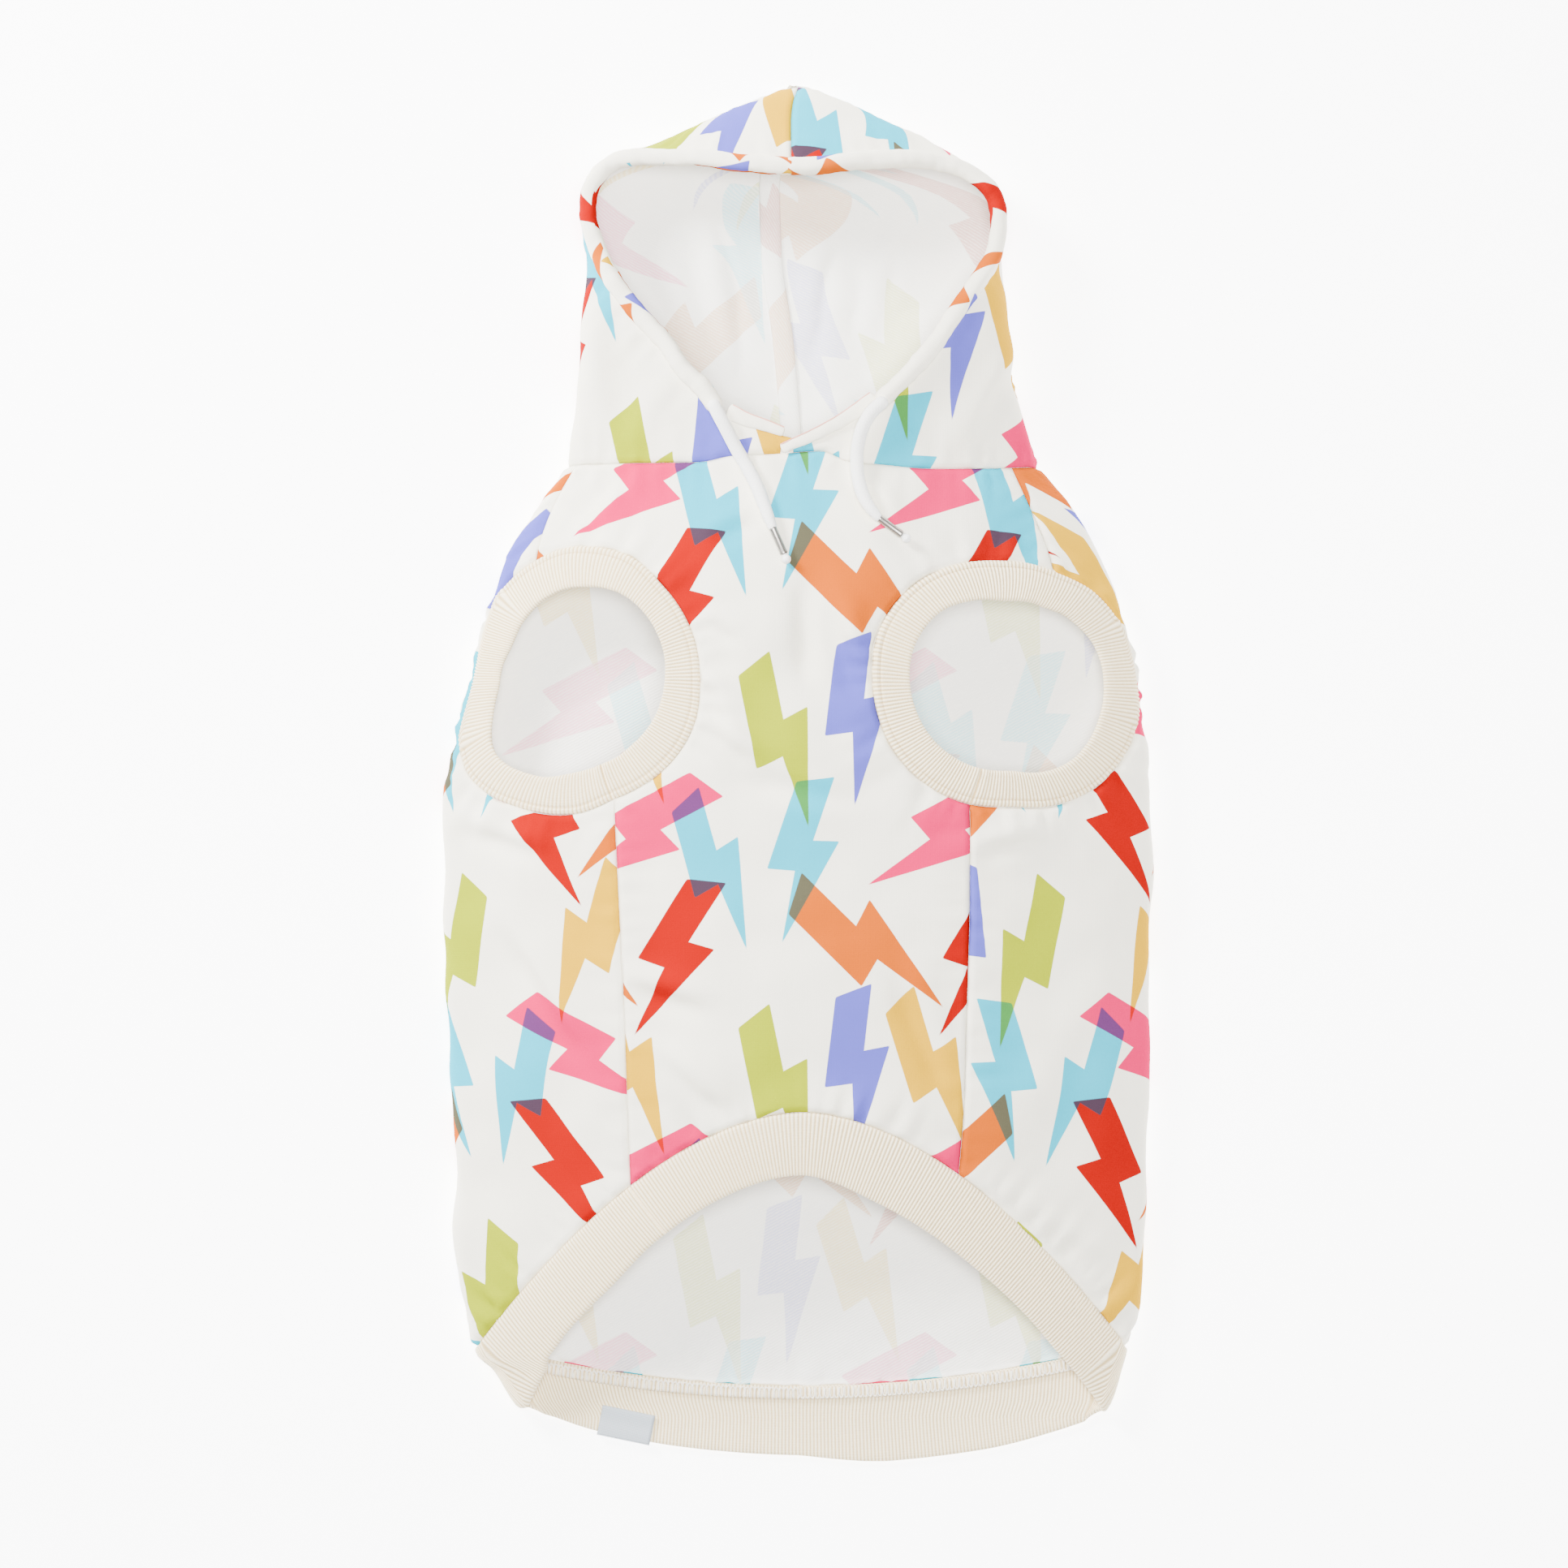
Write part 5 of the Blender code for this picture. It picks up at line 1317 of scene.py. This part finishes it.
stitched_tone = add_node(tree, "Mix", {"Factor": on_line.outputs["Result"], "A": rib_tone_and_furrow_shade.outputs["Result"],
                                       "B": linear("#BFA06A")}, data_type="RGBA")
yarn_noise = add_node(tree, "TexNoise", {"Vector": add_node(tree, "TexCoord").outputs["Object"],
                                         "Scale": 700.0, "Detail": 3.0})
yarn_shade = add_node(tree, "MapRange", {"Value": yarn_noise.outputs["Fac"], "To Min": 0.95,
                                         "To Max": 1.03})
rib_colour = add_node(tree, "Mix", {"Factor": 1.0, "A": stitched_tone.outputs["Result"],
                                    "B": yarn_shade.outputs["Result"]},
                      data_type="RGBA", blend_type="MULTIPLY")
feed(tree, shader, {"Base Color": rib_colour.outputs["Result"], "Roughness": 0.9, "Sheen Weight": 0.2,
                    "Specular IOR Level": 0.25})
courses = add_node(tree, "TexWave", {"Vector": metres_along(tree, 1.0, 0.0010), "Scale": wave_scale,
                                     "Distortion": 1.0}, bands_direction="Y")
rib_stitches = add_node(tree, "Math", {0: courses.outputs["Fac"], 1: yarn_noise.outputs["Fac"]},
                        operation="ADD")
rib_bump = add_node(tree, "Bump", {"Strength": 0.35, "Distance": 0.0002,
                                   "Height": rib_stitches.outputs["Value"]})
feed(tree, shader, {"Normal": rib_bump.outputs["Normal"]})


def rib_band(name, seam_side, free_side, width, ribs, lift, seed, joins, stitched):
    """A folded band of rib knit between two lines on the form, closed round its whole section.

    Joins are the columns where the band's ends are sewn together. A stitched band has a line sewn
    through it.
    """
    columns = len(seam_side)
    half_knit = rib_knit / 2
    rolled = [(edge_roll * (1 - np.cos(angle)) / width, np.sin(angle)) for angle in np.radians(edge_turns)]
    across = []
    if stitched:
        across = list(np.outer(stitch_line + stitch_width * np.array(stitch_rows), 1 / width))
    start = across[-1] if stitched else edge_roll / width
    across += list(np.linspace(start, 1 - edge_roll / width, plain_rows + 2)[1:-1])
    rows = rolled + [(share, 1.0) for share in across]
    rows += [(1 - share, swell) for share, swell in rolled[::-1]]
    turn = 2 * np.pi * ribs * np.arange(columns) / columns
    crest_height = rib_relief * (0.5 + 0.5 * np.cos(turn))
    loops = [(share, swell, 1.0) for share, swell in rows]
    loops += [(share, swell, -1.0) for share, swell in rows[-2:0:-1]]
    loops.append(loops[0])
    points = np.empty((columns + 1, len(loops), 3))
    coordinates = np.empty((columns + 1, len(loops), 2))
    wander = np.array([noise.noise(Vector((i * rib_pitch / rib_columns / wander_pitch, seed, 0.0)))
                       for i in range(columns)])
    groove = np.zeros(columns)
    for join in joins:
        gap = np.abs((np.arange(columns) - join + columns / 2) % columns - columns / 2)
        gap *= rib_pitch / rib_columns
        groove += join_depth * np.exp(-(gap / join_width) ** 2)
        wander += join_ridge * np.exp(-((gap - join_ridge_from) / join_ridge_width) ** 2)
    for k, (share, swell, face) in enumerate(loops):
        places = seam_side + (free_side - seam_side) * share[:, None]
        inner = place(*places.T, inset=half_knit)
        inner[:, 2] += lift * share * share
        outward = surface_frame(places)[2]
        bulge = rib_bulge * np.sin(np.pi * np.clip(share, 0.0, 1.0)) + wander_height * wander * share
        crests = crest_height * (1.0 if face > 0 else inner_relief)
        height = face * (half_knit - relief_sunk * rib_relief + crests - groove) * swell
        if stitched and face > 0:
            height -= stitch_depth * np.exp(-((share * width - stitch_line) / stitch_width) ** 2)
        spot = inner + outward * (height + bulge)[:, None]
        spot[:, 2] = np.maximum(spot[:, 2], lowest_rib)
        points[:-1, k] = spot
        coordinates[:-1, k, 0] = ribs * np.arange(columns) / columns
        coordinates[:-1, k, 1] = share * width + (0.0 if stitched and face > 0 else unstitched_shift)
    points[-1] = points[0]
    coordinates[-1] = coordinates[0]
    coordinates[-1, :, 0] = ribs
    piece = sewn_grid(name, points, coordinates, rib_cloth)
    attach(piece, "root")
    return piece


def leg_rib(side):
    """The rib band round one leg opening."""
    middle = leg_places(side, np.arange(0.0, 360.0, 2.0), 0.5)
    loop = place(*middle.T)
    length = np.sum(np.linalg.norm(loop - np.roll(loop, 1, axis=0), axis=1))
    ribs = int(round(length / rib_pitch))
    turns = np.arange(ribs * rib_columns) * 360.0 / (ribs * rib_columns)
    seam_side = leg_places(side, turns, 0.0, -seam_gap)
    free_side = leg_places(side, turns, 1.0)
    across = place(*seam_side.T) - place(*free_side.T)
    width = np.linalg.norm(across, axis=1)
    join = belly_turn[side] / 360.0 * ribs * rib_columns
    piece = rib_band("leg_rib_" + side_words[side] + "_knit", seam_side, free_side, width, ribs,
                     leg_rib_lift, seed=3.0 + side, joins=[join], stitched=True)
    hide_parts("leg_rib_" + side_words[side])


for side in (-1, 1):
    leg_rib(side)

# Hem rib
# The body ends in a wider band of the same cream rib, folded double. It rises over the belly in an arch,
# so that the dog's hind legs stay free, and runs low across the back.

hem_rib_width = 0.026
hem_join_across = -0.235
# Run of the band over which its ribs turn where it folds at the sides
hem_turn = 0.050
# Depth of the band at places around the garment, as shares of its width
hem_depth = (
    (-3.0, 1.00), (-2.25, 0.96), (-2.0, 0.94), (-1.5, 0.82), (-1.0, 0.96), (-0.90, 1.02),
    (-0.75, 1.17), (-0.58, 1.17), (-0.42, 1.03), (-0.24, 0.95), (0.0, 0.89), (0.24, 1.05),
    (0.55, 1.11), (0.77, 1.08), (0.93, 0.97), (1.5, 0.92), (2.0, 1.05), (2.36, 1.13),
    (2.66, 1.13), (3.0, 1.00),
)
hem_depth_at = smooth_curve([row[0] for row in hem_depth], [row[1] * hem_rib_width for row in hem_depth])


def hem_lines(count):
    """The band's seam line and free line, matched so that the ribs stand square to the band."""
    around = np.linspace(-3.0, 3.0, 4001)
    seam = follow(around, hem_rule, -half_gap)
    points = place(*seam.T)
    run = run_along(points)
    free = seam - np.stack([0 * around, hem_depth_at(around)], axis=1)
    flat = run_along(points[:, ::2])
    slope = np.gradient(seam[:, 1], flat)
    shift = slope * hem_depth_at(around) / (1 + slope ** 2)
    even_flat = np.linspace(0.0, flat[-1], 2001)
    spread = np.interp(even_flat, flat, shift)
    window = int(hem_turn / even_flat[1]) | 1
    for _ in range(2):
        ends = np.concatenate([spread[-window:], spread, spread[:window]])
        spread = np.convolve(ends, np.ones(window) / window, "same")[window:-window]
    target = np.clip(flat + np.interp(flat, even_flat, spread), 0.0, flat[-1])
    target = np.maximum.accumulate(target)
    matched = points_at(target, flat, free)
    free_points = place(*matched.T)
    free_run = run_along(free_points)
    run = (run + free_run) / 2
    even = np.arange(count) * run[-1] / count
    return points_at(even, run, seam), points_at(even, run, matched), run[-1]


hem_ribs = int(round(hem_lines(400)[2] / rib_pitch))
seam_side, free_side = hem_lines(hem_ribs * rib_columns)[:2]
seam_points = place(*seam_side.T)
free_points = place(*free_side.T)
hem_width = np.linalg.norm(seam_points - free_points, axis=1)
on_belly = np.abs(seam_side[:, 0]) < 1.0
join = np.argmin(np.where(on_belly, np.abs(seam_points[:, 0] - hem_join_across * garment_width), 1.0))
hem = rib_band("hem_rib_knit", seam_side, free_side, hem_width, hem_ribs, 0.0, seed=9.0, joins=[join],
               stitched=False)
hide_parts("hem_rib")

# Seam allowances
# Inside every seam the two cloth edges lie together as a soft ridge, held by an overlock stitch. Through
# the hood's mouth and over the hem rib at the back they show, elsewhere they only keep the seams closed.

allowance_width = 0.0050
allowance_height = 0.0011
allowance_depth = 0.0021
allowance_step = 0.0016
# The hood's seams have their own ridges, which begin and end a little inside the seam
ridge_start = 0.001
ridge_stop = 0.494
back_ridge_beside = -0.0022
back_ridge_width = 0.0078
back_ridge_depth = 0.0019
back_ridge_height = 0.0025


def allowance(name, places, width=allowance_width, depth=allowance_depth, height=allowance_height,
              material=looped_side, pitch=1.0):
    """A flattened roll of cloth along a line on the form, just under the cloth's inner face."""
    ridge = rolled_length(name, above(places, -depth), surface_frame(places)[2], width, height, material,
                          ring=12, pitch=pitch)
    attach(ridge, "root")


def on_seam(seam, start, stop):
    """Places along a seam on the upper side."""
    along = np.linspace(start, stop, steps(start, stop))
    return top_places(seam(along), along)


round_garment = np.linspace(-3.0, 3.0, int(6 * garment_width / 3 / allowance_step))
neck_loop = follow(round_garment, neck_rule, 0.0)
hem_loop = follow(round_garment, hem_rule, 0.0)
allowance("neck_seam_allowance", neck_loop)
# The hem seam's allowance lies on the band's side of the seam
hem_allowance_shift = 0.0023
allowance("hem_seam_allowance", hem_loop - np.array((0.0, hem_allowance_shift)), material=rib_cloth,
          pitch=rib_pitch)
for side in (-1, 1):
    word = side_words[side]
    neck = seam_end(shoulder[side], 0.0, neck_rule)
    hem_end = seam_end(belly_seam[side], 0.0, hem_rule)
    start = leg_corner(side, shoulder[side], shoulder_turn[side], 0.0)
    stop = leg_corner(side, belly_seam[side], belly_turn[side], 0.0)
    arc = leg_places(side, np.array([start, stop]), 0.0)
    allowance("shoulder_seam_allowance_" + word, on_seam(shoulder[side], arc[0, 1], neck))
    allowance("belly_seam_allowance_" + word, on_seam(belly_seam[side], hem_end, arc[1, 1]))
    leg_loop = leg_places(side, np.linspace(0.0, 360.0, 181), 0.0)
    allowance("leg_seam_allowance_" + word, leg_loop)

back_rows = np.linspace(neck_rule(0.0, False) + ridge_start, ridge_stop * garment_length, 160)
back_ridge = np.stack([on_back(back_seam(back_rows), back_rows, -1), back_rows], axis=1)
allowance("hood_back_seam_allowance", beside(back_ridge, back_ridge_beside), width=back_ridge_width,
          depth=back_ridge_depth, height=back_ridge_height)
top_rows = np.linspace(rim_lines[-1][-1, 1] + ridge_start, ridge_stop * garment_length, 40)
top_ridge = top_places(top_seam(top_rows), top_rows)
allowance("hood_top_seam_allowance", top_ridge)

# Overlock thread
# The allowance of the back's hem seam is turned down onto the rib and oversewn. The looper thread goes to
# and fro round its edge, 1.8 mm apart.

overlock_width = 0.0048
overlock_pitch = 0.0018
overlock_thread = 0.00055
turned_height = 0.0012
turned_relief = 0.00018
turned_lift = 0.0031
# Height of the looper thread and its sway, across and along as shares of the allowance's width and the pitch
looper_lift = 0.0038
looper_drop = 0.0003
looper_across = 0.46
looper_along = 0.30
looper_points = 6
seam_floor_from = 1.75
# Spun polyester thread: soft off-white, with its twist drawn a little coarser than it is, so that it shows
white_thread, tree, shader = new_material("white_spun_thread")
feed(tree, shader, {"Base Color": linear("#FBF6EC"), "Roughness": 0.75})
strand = add_node(tree, "TexWave", {"Vector": metres_along(tree, 0.0004, 0.0004, np.radians(35)),
                                    "Scale": wave_scale}, bands_direction="X")
strand_bump = add_node(tree, "Bump", {"Strength": 0.4, "Distance": 0.0001, "Height": strand.outputs["Fac"]})
feed(tree, shader, {"Normal": strand_bump.outputs["Normal"]})


def floor_stretch(loop, side):
    """The part of a line round the garment that lies on the table at one side."""
    return loop[loop[:, 0] * side > seam_floor_from]


for side in (-1, 1):
    word = side_words[side]
    line = floor_stretch(hem_loop, side)
    if side > 0:
        line = line[::-1]
    points = place(*line.T)
    run = run_along(points)
    rows = np.arange(0.0, run[-1], rib_pitch / rib_columns)
    strip = points_at(rows, run, points)
    strip += (0.0, -overlock_width / 2, turned_lift)
    crests = (turned_relief * np.cos(2 * np.pi * rows / rib_pitch))[:, None]
    turned = rolled_length("hem_allowance_turned_" + word, strip,
                           np.broadcast_to((0.0, 0.0, 1.0), (len(strip), 3)), overlock_width, turned_height,
                           rib_cloth, ring=12, relief=crests, pitch=rib_pitch)
    even = np.linspace(0.0, run[-1], int(run[-1] / overlock_pitch) * looper_points)
    path = points_at(even, run, points)
    sway = 2 * np.pi * even / overlock_pitch
    path[:, 1] -= overlock_width * (0.5 + looper_across * np.cos(sway))
    path[:, 0] += overlock_pitch * looper_along * np.sin(sway)
    path[:, 2] += looper_lift - looper_drop * np.cos(sway)
    looper = rolled_length("hem_overlock_" + word, path, np.broadcast_to((0.0, 0.0, 1.0), (len(path), 3)),
                           overlock_thread, overlock_thread, white_thread, ring=6)
    for piece in (turned, looper):
        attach(piece, "root")

# Hem label
# A small tag of blue-grey woven ribbon. It is folded over the band's lower edge at the back and sewn into
# it, and its face lies flat on the ribs.

label_width = 0.0200
label_height = 0.0105
label_thickness = 0.0006
# Its place across the garment, where the band lies on the table
label_across = -0.247
label_on_table = 2.1
# Its distance from the band, the wave of its face, its tail under the band and its turn round the edge
label_gap = 0.0004
label_wave = 0.0001
label_tail = 0.004
ribbon_share = 0.8
fold_out = 0.0007
fold_clear = 0.0001
# Woven polyester ribbon: smooth blue-grey, with warp and weft drawn about twice as coarse as they are, so
# that they show
label_ribbon, tree, shader = new_material("woven_polyester_ribbon")
feed(tree, shader, {"Roughness": 0.6, "Sheen Weight": 0.15})
warp = add_node(tree, "TexWave", {"Vector": metres_along(tree, 0.0005, 0.0005), "Scale": wave_scale},
                bands_direction="X")
weft = add_node(tree, "TexWave", {"Vector": metres_along(tree, 0.0006, 0.0006), "Scale": wave_scale},
                bands_direction="Y")
woven = add_node(tree, "Math", {0: warp.outputs["Fac"], 1: weft.outputs["Fac"]}, operation="MULTIPLY")
ribbon_tone = add_node(tree, "Mix", {"Factor": woven.outputs["Value"], "A": linear("#A4ADB5"),
                                     "B": linear("#C2C9D0")}, data_type="RGBA")
feed(tree, shader, {"Base Color": ribbon_tone.outputs["Result"]})
ribbon_bump = add_node(tree, "Bump", {"Strength": 0.4, "Distance": 0.0001,
                                      "Height": woven.outputs["Value"]})
feed(tree, shader, {"Normal": ribbon_bump.outputs["Normal"]})

on_table = np.abs(free_side[:, 0]) > label_on_table
nearest = int(np.argmin(np.where(on_table, np.abs(free_points[:, 0] - label_across * garment_width), 1.0)))
heading = free_points[nearest - rib_columns] - free_points[nearest + rib_columns]
label_along = np.array((abs(heading[0]), heading[1] * np.sign(heading[0]), 0.0))
label_along /= np.linalg.norm(label_along)
label_up = np.array((-label_along[1], label_along[0], 0.0))
top_of_band = rib_knit + label_gap
turn_angles = np.radians(np.linspace(90.0, -90.0, 9))
middle_of_fold = (top_of_band + label_thickness / 2 + label_gap) / 2
fold_radius = (top_of_band + label_thickness / 2 - label_gap) / 2
profile = [(label_height * share, top_of_band + label_thickness / 2 + label_wave * np.sin(share * 9.0))
           for share in np.linspace(1.0, 0.0, 12)]
profile += [(-fold_out * np.cos(a) - fold_clear, middle_of_fold + fold_radius * np.sin(a))
            for a in turn_angles]
profile += [(share * label_tail, label_gap) for share in np.linspace(0.1, 1.0, 4)]
profile = np.array(profile)
origin = np.array((free_points[nearest][0], free_points[nearest][1], 0.0))
across_label = np.linspace(-0.5, 0.5, 17) * label_width
points = (origin + across_label[None, :, None] * label_along + profile[:, 0][:, None, None] * label_up
          + profile[:, 1][:, None, None] * np.array((0.0, 0.0, 1.0)))
profile_run = run_along(profile)
coordinates = np.stack(np.broadcast_arrays(across_label[None, :], profile_run[:, None]), axis=-1)
label = sewn_grid("hem_label_woven", points, coordinates, label_ribbon)
fold = label.modifiers.new("thickness", "SOLIDIFY")
fold.thickness = label_thickness * ribbon_share
fold.offset = 0.0
bpy.ops.object.modifier_apply(modifier="thickness")
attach(label, "root")
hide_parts("hem_label")

# Drawcord ends
# Two ends of one soft white tubular cord come out of the hood's edge casing and lie on the belly, the left
# one nearly straight and the right one in a curve. Each is finished with a crimped metal sleeve and a small
# moulded ball.

cord_width = 0.0050
cord_rest = 0.0005
# The cord narrows towards its sleeve, at these shares of its length, and is pinched just before it
taper_at = (0.0, 0.75, 1.0)
taper = (1.0, 0.98, 0.80)
pinch_run = 0.0022
pinch_wide = 0.12
pinch_high = 0.14
sleeve_width = 0.0029
sleeve_length = 0.0104
# The sleeve is squeezed between two grooves, given as shares of its length from the middle
sleeve_grooves = (-0.44, -0.41, 0.41, 0.44)
sleeve_waist = 0.42
sleeve_squeeze = 0.94
sleeve_rounding = 0.00018
ball_width = 0.0034
# The ball's neck begins at this share of its width from the middle, and its parting line stands out a little
ball_neck_from = 0.36
ball_neck_reach = 0.0005
parting_share = 0.03
parting_height = 0.00004
cord_ring = 20
cord_step = 0.0012
cord_flat = 0.94
route_step = 0.0005
# Across and along as shares of the garment, and the lift above the cloth as a share of the cord's width
cord_routes = {
    "left": (
        (-0.1135, 0.2615, 0.26), (-0.106, 0.254, 0.28), (-0.099, 0.247, 0.22), (-0.086, 0.233, 0.06),
        (-0.069, 0.216, 0.0), (-0.055, 0.201, 0.0), (-0.045, 0.187, 0.0), (-0.036, 0.174, 0.0),
        (-0.020, 0.155, 0.0),
    ),
    "right": (
        (0.1120, 0.2635, 0.26), (0.101, 0.2585, 0.30), (0.087, 0.247, 0.24), (0.080, 0.232, 0.06),
        (0.079, 0.218, 0.0), (0.083, 0.201, 0.0), (0.092, 0.189, 0.0), (0.107, 0.179, 0.0),
        (0.139, 0.169, 0.0),
    ),
}

# Tubular woven polyester: matt white, with slanting yarns that cross every 1.1 mm. The real yarns are finer
# than a pixel, so they are drawn about twice as coarse.
woven_cord, tree, shader = new_material("white_tubular_cord")
feed(tree, shader, {"Base Color": linear("#F8F7F3"), "Roughness": 0.7, "Sheen Weight": 0.25})
yarn_pitch = 0.0011
slants = [add_node(tree, "TexWave", {"Vector": metres_along(tree, yarn_pitch, yarn_pitch, np.radians(turn)),
                                     "Scale": wave_scale, "Distortion": 0.6}, bands_direction="X")
          for turn in (38, -38)]
crossing = add_node(tree, "Math", {0: slants[0].outputs["Fac"], 1: slants[1].outputs["Fac"]},
                    operation="MAXIMUM")
weave = add_node(tree, "Bump", {"Strength": 0.35, "Distance": 0.0002, "Height": crossing.outputs["Value"]})
feed(tree, shader, {"Normal": weave.outputs["Normal"]})

# Crimped sleeve of nickel-plated brass: dull silver with fine scratches along its length
crimped_sleeve, tree, shader = new_material("nickel_plated_sleeve")
feed(tree, shader, {"Metallic": 1.0})
scratches = add_node(tree, "TexNoise", {"Scale": 1.0, "Detail": 3.0,
                                        "Vector": metres_along(tree, 0.0001, 0.004)})
plating = add_node(tree, "Mix", {"Factor": scratches.outputs["Fac"], "A": linear("#8E8880"),
                                 "B": linear("#BAB6B0")}, data_type="RGBA")
feed(tree, shader, {"Base Color": plating.outputs["Result"]})
dulling = add_node(tree, "MapRange", {"Value": scratches.outputs["Fac"], "To Min": 0.28, "To Max": 0.5})
feed(tree, shader, {"Roughness": dulling.outputs["Result"]})

# Ball of moulded acetal: smooth opaque white with a faint waxy gloss
moulded_ball, tree, shader = new_material("white_acetal_ball")
feed(tree, shader, {"Base Color": linear("#F8F8F6"), "Roughness": 0.35, "IOR": 1.48,
                    "Subsurface Weight": 0.1, "Subsurface Radius": (0.001, 0.001, 0.001)})


def pick_vertices(piece, wanted):
    """Select the vertices that a rule picks out, in edit mode."""
    bpy.ops.mesh.select_all(action="DESELECT")
    shape = bmesh.from_edit_mesh(piece.data)
    for vertex in shape.verts:
        vertex.select = wanted(vertex.co)
    shape.select_flush_mode()
    bmesh.update_edit_mesh(piece.data)


def woven_end(word):
    """The cord from the casing to its sleeve, and its middle line."""
    route = np.array(cord_routes[word]) * (garment_width, garment_length, cord_width)
    dense = smooth_path(route, route_step)
    run = run_along(dense[:, :2])
    length = run[-1] - sleeve_length
    even = np.linspace(0.0, length, int(round(length / cord_step)) + 1)
    x, y, lift = points_at(even, run, dense).T
    places = top_places(x, y)
    centres = above(places, cord_width / 2 + cord_rest + lift)
    narrow = np.interp(even, np.array(taper_at) * length, taper)
    pinch = np.exp(-((even - length) / pinch_run) ** 2)
    cord = rolled_length("drawcord_" + word + "_woven", centres, surface_frame(places)[2],
                         cord_width * (narrow - pinch_wide * pinch),
                         cord_width * cord_flat * (narrow - pinch_high * pinch), woven_cord, ring=cord_ring)
    return cord, centres


def crimped_end(name, middle, axis, turn):
    """A metal sleeve squeezed onto the cord between its two rims."""
    bpy.ops.object.select_all(action="DESELECT")
    bpy.ops.mesh.primitive_cylinder_add(vertices=36, radius=sleeve_width / 2, depth=sleeve_length,
                                        location=middle, rotation=turn)
    sleeve = bpy.context.object
    sleeve.name = name
    bpy.ops.object.transform_apply(location=True, rotation=True, scale=True)
    bpy.ops.object.mode_set(mode="EDIT")
    for share in sleeve_grooves:
        bpy.ops.mesh.select_all(action="SELECT")
        bpy.ops.mesh.bisect(plane_co=middle + axis * sleeve_length * share, plane_no=axis)
    pick_vertices(sleeve, lambda point: abs((point - middle).dot(axis)) < sleeve_length * sleeve_waist)
    bpy.ops.transform.resize(value=(sleeve_squeeze, sleeve_squeeze, sleeve_squeeze), center_override=middle)
    bpy.ops.object.mode_set(mode="OBJECT")
    rounding = sleeve.modifiers.new("edges", "BEVEL")
    rounding.width = sleeve_rounding
    rounding.segments = 2
    rounding.limit_method = "ANGLE"
    rounding.angle_limit = np.radians(35)
    select_only(sleeve)
    bpy.ops.object.modifier_apply(modifier="edges")
    bpy.ops.object.shade_smooth_by_angle(angle=np.radians(40))
    sleeve.data.materials.append(crimped_sleeve)
    return sleeve


def moulded_end(name, middle, axis, turn):
    """A small ball with a neck that reaches into the sleeve and a faint parting line round its middle."""
    bpy.ops.object.select_all(action="DESELECT")
    bpy.ops.mesh.primitive_uv_sphere_add(segments=28, ring_count=18, radius=ball_width / 2,
                                         location=middle, rotation=turn)
    ball = bpy.context.object
    ball.name = name
    bpy.ops.object.transform_apply(location=True, rotation=True, scale=True)
    bpy.ops.object.mode_set(mode="EDIT")
    pick_vertices(ball, lambda point: (point - middle).dot(axis) < -ball_width * ball_neck_from)
    bpy.ops.transform.translate(value=-axis * ball_neck_reach)
    pick_vertices(ball, lambda point: abs((point - middle).dot(axis)) < ball_width * parting_share)
    bpy.ops.transform.shrink_fatten(value=parting_height)
    bpy.ops.object.mode_set(mode="OBJECT")
    bpy.ops.object.shade_smooth()
    ball.data.materials.append(moulded_ball)
    return ball


def box_middle(node):
    """Middle of a solid's box."""
    low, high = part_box(node)
    return (Vector(low) + Vector(high)) / 2


def lay_cord(word):
    """One cord end with its sleeve and ball, all on their solids' line."""
    cord, centres = woven_end(word)
    sleeve_middle = box_middle("aglet_" + word)
    ball_middle = box_middle("cord_tip_" + word)
    axis = (ball_middle - sleeve_middle).normalized()
    turn = (ball_middle - sleeve_middle).to_track_quat("Z", "Y").to_euler()
    sleeve = crimped_end("aglet_" + word + "_crimped", sleeve_middle, axis, turn)
    ball = moulded_end("cord_tip_" + word + "_moulded", ball_middle, axis, turn)
    for piece, node, slot in ((cord, "drawcord_", "cord"), (sleeve, "aglet_", "aglet"),
                              (ball, "cord_tip_", "tip")):
        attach(piece, "root")
        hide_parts(node + word)


for word in cord_routes:
    lay_cord(word)
